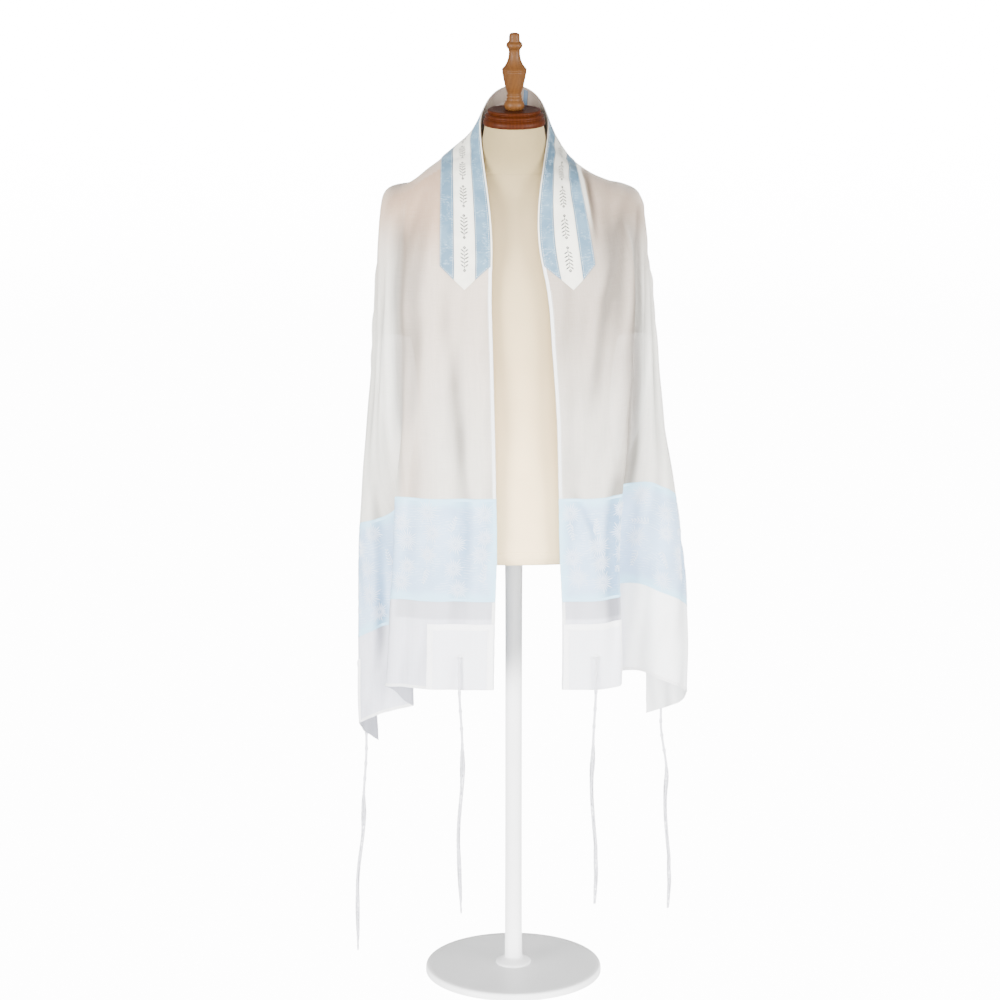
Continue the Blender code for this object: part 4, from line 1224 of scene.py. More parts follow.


# Painted light and shade in these colours: the voile's two show-through tones, its nape colour and
# its fold colour; the end's and the band's fold colours; the linen's last colour; and the tab's
# darkened blue.
FINISHES: dict[str, Finish] = {
    "sheer": Weave(
        "voile", (0.765, 0.750, 0.685), (0.695, 0.685, 0.630), 0.85, 0.62, 0.06,
        ((0.490, 0.325, 0.215), (0.375, 0.285, 0.215)), (0.104, 0.070, 0.046), (0.42, 0.42, 0.415)),
    "end": Weave("voile_end", (0.72, 0.73, 0.81), (0.65, 0.66, 0.735), 0.92, 0.62, 0.06,
                 fold=(0.44, 0.44, 0.455), head=True),
    "hem": Weave("folded_hem", (0.87, 0.87, 0.86), (0.78, 0.785, 0.79), 0.96, 0.66),
    "patch": Weave("patch_cotton", (0.86, 0.87, 0.92), (0.81, 0.82, 0.88), sheen=0.05),
    "patch_hem": Weave("patch_hem", (1.0, 1.0, 1.0), (0.98, 0.98, 1.0)),
    "band": Jacquard("damask_band", (0.430, 0.60, 0.81), (0.355, 0.520, 0.735),
                     (0.74, 0.84, 0.96), (0.40, 0.68, 0.86), (0.42, 0.53, 0.61)),
    "blue": Satin("ribbon_blue", (0.130, 0.225, 0.305), (0.098, 0.178, 0.250), (0.30, 0.42, 0.52)),
    "white": Satin("ribbon_white", (0.84, 0.82, 0.72), (0.76, 0.74, 0.65)),
    # The nape tab's blue is darkened as painted shade, for its place inside the collar.
    "tab": Satin("tab_blue", (0.034, 0.055, 0.083), (0.026, 0.044, 0.068)),
    "silk": Thread("embroidery_white", (0.80, 0.86, 0.95), (0.70, 0.77, 0.88), roughness=0.50),
    "silver": Thread("embroidery_silver", (0.018, 0.016, 0.015), (0.009, 0.008, 0.0075),
                     roughness=0.42),
    "stitch": Thread("sewing_thread", (0.86, 0.86, 0.86), (0.72, 0.73, 0.75)),
    "tassel": Thread("tassel_thread", (0.76, 0.76, 0.80), (0.55, 0.55, 0.60), 0.0012, 0.66),
    "linen": Linen("form_linen", (0.90, 0.700, 0.405), (0.84, 0.645, 0.370), (0.60, 0.44, 0.22),
                   (0.245, 0.183, 0.080)),
    "cap": Wood("cap_varnish", (0.042, 0.0090, 0.0010), (0.026, 0.0045, 0.0004),
                0.010, 0.50, 24.0, 0.07),
    "finial": Wood("finial_varnish", (0.076, 0.0295, 0.0068), (0.056, 0.0205, 0.0045),
                   0.02, 0.48, 20.0, 0.12),
    "stand": Paint("stand_paint", (0.93, 0.93, 0.93), (0.90, 0.90, 0.90)),
    "floor": Paint("floor_paint", (0.86, 0.86, 0.86), (0.85, 0.85, 0.85), 0.62, 60.0, 15.0),
}


@dataclass
class Palette:
    """Every finish's material, made once."""

    made: dict[str, bpy.types.Material] = field(default_factory=dict)

    def put(self, piece: Thing, finish: str, slot: str | None = None,
            node: str | None = None) -> None:
        """Dress a piece.

        Args:
            piece: the object.
            finish: a key of FINISHES.
            slot: not used.
            node: the frame's node that it stands for.
        """
        if finish not in self.made:
            self.made[finish] = FINISHES[finish].material()
        piece.data.materials.append(self.made[finish])
        if node:
            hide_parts(node)


# ---------------------------------------------------------------- sewn details
def strokes(*columns: Reading) -> Array:
    """Rows of s, t, heading, length and width, from columns that broadcast together."""
    return np.stack(np.broadcast_arrays(*columns), -1).reshape(-1, len(columns))


PETAL_TIP, PETAL_RIM, PETAL_DROOP = 0.16, 0.30, 0.6     # shares: half-width, heights


def petals(cloth: Cloth, name: str, rows: Array, base: float, rise: float) -> Thing:
    """Many small raised petals or stitches on a cloth, as one mesh.

    Each is a closed pillow of 5 by 3 points: its half-width is a half circle
    along it, and its top stands higher in the middle than at the edge.

    Args:
        cloth: what they lie on.
        name: object name.
        rows: one for each, as strokes gives them.
        base: lift of the underside.
        rise: height of the middle above it.

    Returns:
        One object that holds them all.
    """
    s, t, turn, length, width = rows.T[..., None, None]
    u, v = np.meshgrid(np.linspace(-1.0, 1.0, 5), np.linspace(-1.0, 1.0, 3), indexing="ij")
    half = PETAL_TIP + (1 - PETAL_TIP) * np.sqrt(np.clip(1 - u ** 2, 0.0, 1.0))
    run, side = length / 2 * u, width / 2 * half * v
    place_s = s + run * np.cos(turn) - side * np.sin(turn)
    place_t = np.clip(t + run * np.sin(turn) + side * np.cos(turn), EDGE, CLOTH_WIDTH - EDGE)
    crown = PETAL_RIM + (1 - PETAL_RIM) * (1 - v ** 2) * (1 - PETAL_DROOP * u ** 2)
    high, low = (cloth.on(place_s, place_t, base + lift) for lift in (rise * crown, 0.0))
    quads = shell(high[0], low[0])[1]
    count = len(rows)
    every = np.stack([high, low], 1).reshape(-1, 3)
    faces = (quads[None] + np.arange(count)[:, None, None] * (len(every) // count)).reshape(-1, 4)
    uv = np.repeat(np.stack([side, run], -1)[:, None], 2, axis=1).reshape(-1, 2)
    return mesh_object(name, every, [faces], uv)


STITCH_PITCH, STITCH_LENGTH, STITCH_SHARE, STITCH_RISE = 0.0036, 0.0024, 0.22, 0.00022


def stitches(cloth: Cloth, name: str, runs: Sequence[Row], base: float) -> Thing:
    """Rows of small running stitches, evenly along each run.

    Args:
        cloth: what they lie on.
        name: object name.
        runs: the s and t of each row's start, and of its end.
        base: lift of their underside.

    Returns:
        One object that holds them all.
    """
    parts: list[Array] = []
    for s0, t0, s1, t1 in runs:
        count = max(int(math.hypot(s1 - s0, t1 - t0) / STITCH_PITCH), 1)
        share, turn = (np.arange(count) + 0.5) / count, math.atan2(t1 - t0, s1 - s0)
        parts.append(strokes(s0 + (s1 - s0) * share, t0 + (t1 - t0) * share, turn,
                             STITCH_LENGTH, STITCH_LENGTH * STITCH_SHARE))
    return petals(cloth, name, np.concatenate(parts), base, STITCH_RISE)


# ----------------------------------------------------------------- cloth pieces
@dataclass
class Shawl:
    """The long sheer panel with its turned hems."""

    palette: Palette
    form: Thing
    cloth: Cloth = field(init=False)
    piece: Thing = field(init=False)
    hems: list[Thing] = field(default_factory=list)
    hem_seam: float = HEM_WIDTH + 0.0012      # where the hems are stitched down

    def build(self) -> None:
        """Lay out the panel, its two edge hems and their stitches."""
        end = BAND_TOP_S - SEAM_GAP / 2
        self.cloth = Cloth(spread(-end, end, 0.0050))
        self.piece = self.cloth.sheet("voile_panel")
        for name, low, high in (("hem_neck_edge", EDGE, HEM_WIDTH),
                                ("hem_outer_edge", CLOTH_WIDTH - HEM_WIDTH, CLOTH_WIDTH - EDGE)):
            s, t = np.meshgrid(spread(-end, end, 0.0040), spread(low, high, 0.0012), indexing="ij")
            crown = 0.00055 + 0.00025 * np.sin(np.pi * (t - low) / (high - low))
            self.hems.append(self.cloth.layer(name, s, t, 0.00030, crown))
        near, far = self.hem_seam, CLOTH_WIDTH - self.hem_seam
        rows = [(-end, near, -NECK_TIP_S, near), (NECK_TIP_S, near, end, near),
                (-end, far, end, far)]
        self.hems.append(stitches(self.cloth, "hem_stitches", rows, 0.00028))

    def dress(self) -> None:
        """Finish the panel and its hems."""
        self.palette.put(self.piece, "sheer", "sheer_cloth", "shawl_main")
        for hem, finish in zip(self.hems, ("hem", "hem", "stitch")):
            self.palette.put(hem, finish, "sheer_cloth")


@dataclass
class Embroidery:
    """White flowers and fern sprigs on one band, in a loose half-drop repeat."""

    seed: int
    columns: int = 11
    rows: int = 4
    margin: float = 0.016
    first_t: float = 0.024
    pitch_t: float = 0.0432
    shake: float = 0.006
    odd_flowers: float = 0.35              # share of the ferns' places that take a flower
    flower_sizes: Row = (0.034, 0.046)
    fern_sizes: Row = (0.026, 0.034)
    petals: int = 22
    petal_sizes: Row = (0.58, 0.86, 0.70)
    petal_width: float = 0.0012
    eye: float = 0.0026
    leaves: int = 6
    leaf_angle: float = 0.85
    leaf_width: float = 0.0015
    stem_width: float = 0.0008
    bow: float = 0.16

    def motifs(self) -> Array:
        """Every petal and leaf of the whole band, at s without its sign.

        Returns:
            Rows of strokes.
        """
        chance = np.random.default_rng(self.seed)
        parts: list[Array] = []
        low, high = BAND_TOP_S + self.margin, BAND_BOTTOM_S - self.margin
        for column in range(self.columns):
            for row in range(self.rows):
                s = low + (high - low) * (row + 0.25 + 0.5 * (column % 2)) / self.rows
                dt, ds = chance.uniform(-self.shake, self.shake, 2)
                flower = (row + column) % 2 == 0 or chance.random() < self.odd_flowers
                size = chance.uniform(*(self.flower_sizes if flower else self.fern_sizes))
                place = (s + ds, self.first_t + column * self.pitch_t + dt)
                draw = self.flower if flower else self.fern
                parts.append(draw(*place, size, chance.uniform(0, TURN)))
        return np.concatenate(parts)

    def flower(self, s: float, t: float, size: float, turn: float) -> Array:
        """Rays of three lengths round an eye.

        Args:
            s, t: the middle.
            size: whole width.
            turn: heading of the first ray.

        Returns:
            Its rows.
        """
        k = np.arange(self.petals)
        angle, length = turn + k * TURN / self.petals, size / 2 * np.array(self.petal_sizes)[k % 3]
        middle = length / 2 + 0.0022
        s_ray, t_ray = s + middle * np.cos(angle), t + middle * np.sin(angle)
        rays = strokes(s_ray, t_ray, angle, length, self.petal_width)
        return np.concatenate([rays, strokes(s, t, turn, self.eye, self.eye)])

    def fern(self, s: float, t: float, size: float, turn: float) -> Array:
        """A stem on a shallow parabola, with pairs of leaves that shorten along it.

        Args:
            s, t: the middle.
            size: whole length.
            turn: the stem's heading.

        Returns:
            Its rows.
        """
        share = (np.arange(self.leaves) + 0.5) / self.leaves
        off, bow = (share - 0.5) * size, self.bow * size * (share - 0.5) ** 2
        s = s + off * math.cos(turn) - bow * math.sin(turn)
        t = t + off * math.sin(turn) + bow * math.cos(turn)
        bend, leaf = turn + 0.9 * (share - 0.5), size / 2 * 0.62 * (1.0 - 0.62 * share)
        parts = [strokes(s, t, bend, size / 5.4, self.stem_width)]
        for angle in (bend - self.leaf_angle, bend + self.leaf_angle):
            s_leaf, t_leaf = s + leaf * 0.55 * np.cos(angle), t + leaf * 0.55 * np.sin(angle)
            parts.append(strokes(s_leaf, t_leaf, angle, leaf, self.leaf_width))
        return np.concatenate(parts)


@dataclass
class EndSection:
    """One end: embroidered band, plain end panel, corner patches, hems."""

    side: Side
    palette: Palette
    shawl: Shawl
    end: Cloth = field(init=False)
    pieces: dict[str, Thing] = field(default_factory=dict)
    tape_edges: Row = (0.0008, 0.0046)     # of the tapes, from the band's seams
    seam_reach: float = 0.005              # of the seam allowance behind them
    hem_gap: float = 0.0052                # from a seam to the band's side hems
    tape_lift: Row = (0.0003, 0.0008)      # of the underside and of the top
    seam_lift: Row = (-0.00085, -0.00035)
    hem_lift: Row = (0.0003, 0.0007)
    patch_lift: Row = (0.00090, 0.00135)
    fold_lift: Row = (0.00150, 0.0020)
    fold_gap: float = 0.0004
    SEEDS = {Side.LEFT: 11, Side.RIGHT: 29}
    FINISHES = {     # by the first word that fits: finish, slot
        "band": ("band", "embroidered_band"), "embroidery": ("silk", "embroidered_band"),
        "patch_stitches": ("stitch", "patch_cloth"), "patch": ("patch", "patch_cloth"),
        "fold": ("patch_hem", "patch_cloth"), "end_hem": ("hem", "sheer_cloth"),
        "end": ("end", "sheer_cloth"),
    }

    def lines(self, low: float, high: float, step: float) -> Array:
        """Grid lines along this side between two distances from the nape."""
        return np.sort(self.side.value * spread(low, high, step))

    def strip(self, key: str, cloth: Cloth, along: Row, across: Row, lift: Row) -> None:
        """A flat piece over a rectangle of cloth, with rounded edges.

        Args:
            key: what it is called, without the side.
            cloth: what it lies on.
            along, across: its range of s (from the nape) and of t.
            lift: of its underside and of its top.
        """
        low, high = lift
        s, t = np.meshgrid(self.lines(*along, 0.0036), spread(*across, 0.0032), indexing="ij")
        sides = (np.abs(s) - along[0], along[1] - np.abs(s), t - across[0], across[1] - t)
        top = low + (high - low) * (0.45 + 0.55 * ease(0.0, 0.0014, np.minimum.reduce(sides)))
        self.pieces[key] = cloth.layer(f"{key}_{self.side.label}", s, t, low, top)

    def build(self) -> None:
        """Lay out the band and the end panel, and sew on what they carry."""
        half, label, sign = SEAM_GAP / 2, self.side.label, self.side.value
        upper, lower, hem = BAND_TOP_S, BAND_BOTTOM_S, HALF_LENGTH - HEM_WIDTH
        band = Cloth(self.lines(upper + half, lower - half, 0.0045))
        self.end = end = Cloth(self.lines(lower + half, HALF_LENGTH, 0.0045))
        self.pieces["band"] = band.sheet(f"damask_{label}")
        self.pieces["end"] = end.sheet(f"voile_end_{label}")
        whole = (EDGE, CLOTH_WIDTH - EDGE)
        front, back = (EDGE, HEM_WIDTH), (CLOTH_WIDTH - HEM_WIDTH, CLOTH_WIDTH - EDGE)
        inside = (upper + self.hem_gap, lower - self.hem_gap)
        below, (near, far), reach = (lower + 0.001, hem - 0.0004), self.tape_edges, self.seam_reach
        for key, cloth, along, across, lift in (
            ("band_tape_top", band, (upper + near, upper + far), whole, self.tape_lift),
            ("band_tape_bottom", band, (lower - far, lower - near), whole, self.tape_lift),
            ("band_seam_top", band, (upper - reach, upper + reach), whole, self.seam_lift),
            ("band_seam_bottom", band, (lower - reach, lower + reach), whole, self.seam_lift),
            ("band_hem_front", band, inside, front, self.tape_lift),
            ("band_hem_back", band, inside, back, self.tape_lift),
            ("end_hem_front", end, below, front, self.hem_lift),
            ("end_hem_back", end, below, back, self.hem_lift),
            ("end_hem", end, (hem, HALF_LENGTH - EDGE), whole, self.hem_lift),
        ):
            self.strip(key, cloth, along, across, lift)
        rows = Embroidery(self.SEEDS[self.side]).motifs() * (sign, 1, sign, 1, 1)
        self.pieces["embroidery"] = petals(band, f"embroidery_{label}", rows, 0.00026, 0.00055)
        bottom = HALF_LENGTH - PATCH_INSET
        top, gap, room = bottom - PATCH_SIZE, self.fold_gap, CLOTH_WIDTH - PATCH_SIZE
        runs: list[Row] = []
        for corner in Corner:
            low = PATCH_INSET if corner is Corner.INNER else room - PATCH_INSET
            high, fold = low + PATCH_SIZE, top + PATCH_FOLD
            key = f"patch_{corner.value}"
            self.strip(key, end, (top, bottom), (low, high), self.patch_lift)
            for part, along, across in (
                ("top", (top + gap, fold), (low + gap, high - gap)),
                ("a", (fold + gap, bottom - gap), (low + gap, low + PATCH_FOLD)),
                ("b", (fold + gap, bottom - gap), (high - PATCH_FOLD, high - gap)),
            ):
                self.strip(f"fold_{part}_{corner.value}", end, along, across, self.fold_lift)
            seam = PATCH_FOLD - 0.0018
            head, foot = sign * (top + seam), sign * (bottom - 0.002)
            near, far = low + seam, high - seam
            runs += [(head, near, head, far), (head, near, foot, near), (head, far, foot, far)]
        self.pieces["patch_stitches"] = stitches(end, f"patch_stitches_{label}", runs, 0.00205)

    def dress(self) -> None:
        """Finish every piece."""
        label = self.side.label
        nodes = {"band": f"band_{label}", "end": f"end_panel_{label}"}
        for corner in Corner:
            nodes[f"patch_{corner.value}"] = f"corner_patch_{label}_{corner.value}"
        for key, piece in self.pieces.items():
            word = next(word for word in self.FINISHES if key.startswith(word))
            self.palette.put(piece, *self.FINISHES[word], nodes.get(key))
        for corner in Corner:
            folds = [self.pieces[f"fold_{part}_{corner.value}"] for part in ("top", "a", "b")]
            if corner is Corner.INNER:
                folds.append(self.pieces["patch_stitches"])


@dataclass
class NeckBand:
    """Three ribbons along the neck edge, pointed at both ends, with ornament."""

    palette: Palette
    shawl: Shawl
    pieces: dict[str, Thing] = field(default_factory=dict)
    areas: dict[str, float] = field(default_factory=dict)
    RIBBONS = {        # low and high t, lift of the top, finish
        "inner": (NECK_EDGES[0], NECK_EDGES[1] - SEAM_GAP, 0.0016, "blue"),
        "centre": (NECK_EDGES[1], NECK_EDGES[2], 0.00175, "white"),
        "outer": (NECK_EDGES[2] + SEAM_GAP, NECK_EDGES[3], 0.0016, "blue"),
    }
    seams: Row = (0.0052, 0.0241, 0.0283, 0.0587, 0.0631, 0.0822)      # t of the rows of stitches
    groups: int = 7                       # of ornament, to each side of the nape's
    group_pitch: float = 0.0515
    base: float = 0.00105                 # lift of the ribbons' undersides
    leaf_gap: float = 0.0036              # from the ribbon's middle to the leaves
    lozenge_at: float = 0.0178            # from a group's middle to its ends
    lozenge: float = 0.0013               # half of its width

    @staticmethod
    def tip(t: Reading) -> Array:
        """How far from the nape the band reaches at each t: straight to a point."""
        slope = (NECK_TIP_S - NECK_SHOULDER_S) / (NECK_MIDDLE - NECK_EDGES[0])
        return NECK_TIP_S - slope * np.abs(t - NECK_MIDDLE)

    def ribbon(self, name: str, low: float, high: float, base: float, top: float,
               count: int) -> None:
        """One long piece between two t, that ends on the band's points.

        Args:
            name: object name.
            low, high: its range of t.
            base, top: lift of its underside and of its top.
            count: grid lines along it.
        """
        share, t = np.linspace(-1.0, 1.0, count)[:, None], spread(low, high, 0.0018)
        t = np.unique(np.append(t, NECK_MIDDLE) if low < NECK_MIDDLE < high else t)
        reach = self.tip(t)
        self.areas[name] = float(np.sum((reach[1:] + reach[:-1]) * np.diff(t)))
        s, t = np.broadcast_arrays(share * reach, t)
        edge = np.minimum(np.minimum(t - low, high - t), (1 - np.abs(share)) * NECK_TIP_S)
        crown = base + (top - base) * (0.5 + 0.5 * ease(0.0, 0.0016, edge))
        self.pieces[name] = self.shawl.cloth.layer(name, s, t, base, crown)

    def build(self) -> None:
        """The three ribbons, the piping, the stitches, the ornament and the nape tab."""
        cloth = self.shawl.cloth
        for name, (low, high, top, _) in self.RIBBONS.items():
            self.ribbon(f"ribbon_{name}", low, high, self.base, top, 281)
        self.ribbon("piping_inner", 0.0004, 0.0026, 0.00100, 0.0021, 361)
        rows: list[Row] = []
        for t in self.seams:
            reach = float(self.tip(t)) - 0.002
            rows.append((-reach, t, reach, t))
        for hand in (-1, 1):
            for run in ((NECK_EDGES[0] + 0.002, NECK_MIDDLE), (NECK_MIDDLE, NECK_EDGES[3] - 0.002)):
                start, end = (hand * (float(self.tip(t)) - 0.0022) for t in run)
                rows.append((start, run[0], end, run[1]))
        self.pieces["ribbon_stitches"] = stitches(cloth, "ribbon_stitches", rows, 0.00185)
        self.pieces["ornament"] = petals(
            cloth, "ornament_silver", self.ornament(), 0.00182, 0.00030)
        s, t = np.linspace(0.0165, 0.0240, 7), spread(0.0040, 0.0520, 0.003)
        s, t = np.meshgrid(s, t, indexing="ij")
        self.pieces["nape_tab"] = cloth.layer("nape_tab", s, t, -0.00095, -0.00040)

    def ornament(self) -> Array:
        """Groups of silver-grey leaves and lozenges down the white ribbon.

        Each group is a short stem along the cloth with leaf pairs and a
        lozenge at each end; the groups have plain ribbon between them.

        Returns:
            Rows of strokes.
        """
        s = np.arange(-self.groups, self.groups + 1)[:, None] * self.group_pitch
        k, at = np.arange(5), np.linspace(-0.0125, 0.0110, 5)
        stem_t = NECK_MIDDLE + 0.0004 * np.sin(3 * k + s * 80)
        parts = [strokes(s + at, stem_t, 0.0, 0.0050, 0.0013)]
        angle = math.pi / 4 + np.arange(4) * math.pi / 2
        for hand in (-1, 1):
            lean = hand * (0.95 + 0.12 * np.sin(5 * k + s * 60))
            size = 0.0078 - 0.0008 * np.abs(k - 2)
            leaf_t = NECK_MIDDLE + hand * self.leaf_gap
            parts.append(strokes(s + at + 0.0026, leaf_t, lean, size, 0.0019))
            side_s = s + hand * self.lozenge_at + self.lozenge * np.cos(angle)
            side_t = NECK_MIDDLE + self.lozenge * np.sin(angle)
            parts.append(strokes(side_s, side_t, angle + math.pi / 2, 0.0038, 0.0014))
        return np.concatenate(parts)

    def dress(self) -> None:
        """Finish the ribbons, and the piping, tab, stitches and ornament."""
        for name, (low, high, _, finish) in self.RIBBONS.items():
            piece, flat = self.pieces[f"ribbon_{name}"], (high - low, 2 * NECK_TIP_S)
            self.palette.put(piece, finish, f"neck_band_{finish}", f"neck_band_{name}")
        for key, finish, slot in (
            ("piping_inner", "white", "white"), ("nape_tab", "tab", "blue"),
            ("ribbon_stitches", "stitch", "white"), ("ornament", "silver", "white"),
        ):
            self.palette.put(self.pieces[key], finish, f"neck_band_{slot}")


# --------------------------------------------------------------------- tassels
def tube(path: Array, radius: Array, sides: int) -> Skin:
    """Closed tube round a path that runs mostly downwards.

    Args:
        path: centre line, (n, 3).
        radius: (n, sides) or (n, 1).
        sides: points round it.

    Returns:
        Its skin: circles square to the path, with a cap at each end.
    """
    angle = np.arange(sides)[None, :, None] * TURN / sides
    first = unit(np.cross(unit(np.gradient(path, axis=0)), [0.0, 1.0, 0.0]))
    second = np.cross(unit(np.gradient(path, axis=0)), first)
    ring = first[:, None] * np.cos(angle) + second[:, None] * np.sin(angle)
    rings = path[:, None] + ring * np.broadcast_to(radius, (len(path), sides))[..., None]
    return skin(rings, np.arange(sides) / sides * 0.012, passed(path)[:, None], path[[0, -1]], True)


def joined(parts: Sequence[Skin]) -> Skin:
    """Several skins as one, with their vertex numbers moved on.

    Args:
        parts: the skins.

    Returns:
        One skin.
    """
    first = np.cumsum([0] + [len(part[0]) for part in parts[:-1]])
    moved = [(p, quads + k, fans + k, uv) for (p, quads, fans, uv), k in zip(parts, first)]
    points, quads, fans, uv = (np.concatenate(column) for column in zip(*moved))
    return points, quads, fans, uv


@dataclass(frozen=True)
class TasselPlan:
    """Where one tassel hangs and how it falls."""

    side: Side
    corner: Corner
    inset: float
    wound: float
    tip_z: float
    sway: float
    lean: float
    drift: float


TASSELS = (
    TasselPlan(Side.LEFT, Corner.INNER, 0.056, 0.150, 0.140, 0.0045, 0.005, -0.006),
    TasselPlan(Side.RIGHT, Corner.INNER, 0.056, 0.145, 0.156, 0.0040, -0.004, 0.003),
    TasselPlan(Side.LEFT, Corner.OUTER, 0.030, 0.135, 0.009, 0.0050, -0.004, -0.018),
    TasselPlan(Side.RIGHT, Corner.OUTER, 0.030, 0.130, 0.074, 0.0040, 0.011, 0.004),
)


@dataclass
class Tassel:
    """Wound cord with five double knots that opens into eight strands."""

    plan: TasselPlan
    palette: Palette
    end: Cloth
    cord: Thing = field(init=False)
    eyelet: Thing = field(init=False)
    cord_radius: float = 0.0021
    knot_radius: float = 0.0034
    strand_radius: float = 0.00105
    standoff: float = 0.0057
    coil: float = 0.0016
    coil_ridge: float = 0.16             # share of the cord's radius
    coil_slant: float = 0.5
    knots: int = 5
    knot_sharpness: int = 14
    knot_lumps: float = 0.28             # share of a knot's swelling
    strands: int = 8
    strand_twist: float = 0.010
    strand_ply: float = 0.12
    seed: int = 45
    sides: int = 14
    eyelet_radius: float = 0.0042
    eyelet_stitches: int = 28
    stitch_length: float = 0.0026
    stitch_share: float = 0.42

    def __post_init__(self) -> None:
        """Name, and cloth coordinates of the eyelet."""
        plan = self.plan
        self.name = f"{plan.side.label}_{plan.corner.value}"
        self.s = plan.side.value * (HALF_LENGTH - plan.inset)
        self.t = plan.inset if plan.corner is Corner.INNER else CLOTH_WIDTH - plan.inset

    def path(self) -> tuple[Array, Array]:
        """Centre line, which sways as a sine of the share of its length.

        Returns:
            Distances down from the eyelet, and the line's points there.
        """
        plan = self.plan
        start = self.end.on(self.s, self.t, self.standoff)
        length = start[2] - plan.tip_z
        fall = np.linspace(0.0, length, 900)
        share = fall / length
        sway = plan.sway * ease(0.30, 0.60, share)
        x = start[0] + sway * np.sin(share * math.pi * 2.6 + plan.side.value)
        x = x + plan.lean * ease(0.05, 0.15, fall) + plan.drift * share ** 2
        y = start[1] + 0.4 * sway * np.sin(share * TURN + 1)
        return fall, np.stack([x, y, start[2] - fall], -1)

    def wound(self, fall: Array, line: Array) -> Skin:
        """The wound part: coils as ridges, and five knots as swellings.

        The radius at each distance is the cord's, plus a knot's bell, plus
        a ridge for each coil that slants round the cord by half its pitch.

        Args:
            fall, line: distances down, and the centre line there.

        Returns:
            Its skin.
        """
        end = self.plan.wound
        at = np.linspace(0.0, end, int(end / self.coil * 5))[:, None]
        place = at / end * self.knots
        knot = np.cos(np.pi * (place - np.round(place))) ** self.knot_sharpness
        angle = np.arange(self.sides)[None, :] * TURN / self.sides
        coil = np.abs(np.sin(np.pi * at / self.coil + angle * self.coil_slant))
        turn = 0.5 + 0.5 * np.cos(2 * angle + 900 * at)
        lumps = 1 - self.knot_lumps + self.knot_lumps * turn
        swelling = (self.knot_radius - self.cord_radius) * knot * lumps
        radius = self.cord_radius * (0.86 + self.coil_ridge * coil * (1 - knot)) + swelling
        radius = radius * np.sqrt(np.clip(np.minimum(at, end - at) / 0.0012, 0.25, 1.0))
        return tube(sampled(at[:, 0], fall, line), radius, self.sides)

    def strand(self, fall: Array, line: Array, number: int) -> Skin:
        """One loose strand, a twisted two-ply thread with a knotted tip.

        It stands off the centre line by a bulge of two bells, and wanders
        round it as a sine.

        Args:
            fall, line: distances down, and the centre line there.
            number: which strand.

        Returns:
            Its skin.
        """
        plan = self.plan
        sign, heading = plan.side.value, number * math.pi / 4 + 0.3
        chance = np.random.default_rng(17 * number + 5 * sign + self.seed)
        length = (fall[-1] - plan.wound) * (0.95 + 0.05 * math.sin(heading * 2 + sign))
        share = np.linspace(0.0, 1.0, 120)
        at = plan.wound - 0.002 + length * share
        points = sampled(at, fall, line)
        full, low = chance.uniform(0.10, 0.16), chance.uniform(0.70, 0.82)
        bulge = 0.0016 * bell(share - full, 0.07) + 0.0013 * bell(share - low, 0.09)
        out = 0.0010 + 0.0011 * ease(0.0, 0.05, share) + bulge
        out = out * (1 - 0.55 * ease(0.90, 1.0, share))
        waver = np.sin(share * chance.uniform(7, 13) + chance.uniform(0, 6))
        wander = heading + 0.65 * waver * ease(0.05, 0.3, share)
        points[:, 0] += out * np.cos(wander)
        points[:, 1] += out * np.sin(wander)
        turned_by = at[:, None] * TURN / self.strand_twist
        ply = self.strand_ply * np.cos(2 * np.arange(6) * np.pi / 3 - turned_by)
        knob = (1 + 0.25 * bell(share - 0.975, 0.010)) * np.where(share > 0.995, 0.5, 1.0)
        return tube(points, self.strand_radius * (1 + ply) * knob[:, None], 6)

    def build(self) -> None:
        """Cord, strands, and the worked eyelet in the patch."""
        centre = self.path()
        parts = [self.wound(*centre)] + [self.strand(*centre, k) for k in range(self.strands)]
        self.cord = skinned(f"tzitzit_{self.name}", joined(parts))
        turn = np.arange(self.eyelet_stitches) * TURN / self.eyelet_stitches
        s, t = (self.eyelet_radius * way(turn) for way in (np.cos, np.sin))
        width = self.stitch_length * self.stitch_share
        rows = strokes(self.s + s, self.t + t, turn, self.stitch_length, width)
        self.eyelet = petals(self.end, f"eyelet_{self.name}", rows, 0.00142, 0.0004)

    def dress(self) -> None:
        """Finish the tassel."""
        self.palette.put(self.cord, "tassel", "tassel_thread", f"tassel_{self.name}")
        self.palette.put(self.eyelet, "stitch", "patch_cloth")


# ------------------------------------------------------------------ dress form
NECK_TILT = math.radians(8.0)
NECK_TOP, TILT_FROM, FORM_FOOT = 1.4365, 1.384, 0.730
PROFILE_UNITS = 10000      # in a metre
# Radius and height above the seat in tenths of a millimetre, from top to bottom.
CAP_PROFILE = (
    (50, 240), (300, 240), (385, 248), (422, 247), (440, 228), (432, 208), (420, 198), (428, 190),
    (458, 178), (475, 160), (475, 142), (462, 126), (460, 114), (474, 104), (494, 86), (504, 56),
    (503, 24), (494, 0))
FINIAL_PROFILE = (
    (30, 1230), (66, 1226), (82, 1206), (88, 1172), (89, 1130), (92, 1096), (96, 1086), (116, 1078),
    (130, 1056), (134, 1028), (126, 1000), (106, 978), (96, 966), (91, 926), (95, 866), (105, 816),
    (122, 766), (150, 712), (184, 672), (201, 652), (203, 636), (196, 626), (194, 618), (199, 610),
    (196, 590), (181, 516), (160, 410), (143, 344), (122, 296), (112, 262), (111, 244), (124, 236),
    (126, 206), (117, 196), (117, 188), (127, 180), (129, 160), (126, 152), (146, 134), (162, 100),
    (165, 66), (155, 30), (136, 0))
BASE_PROFILE = ((450, 120), (1460, 120), (1490, 100), (1500, 70), (1500, 0))
POLE_PROFILE = ((300, 7297), (300, 7257), (160, 7197), (140, 7157), (140, 263), (160, 223),
                (300, 163), (300, 123))


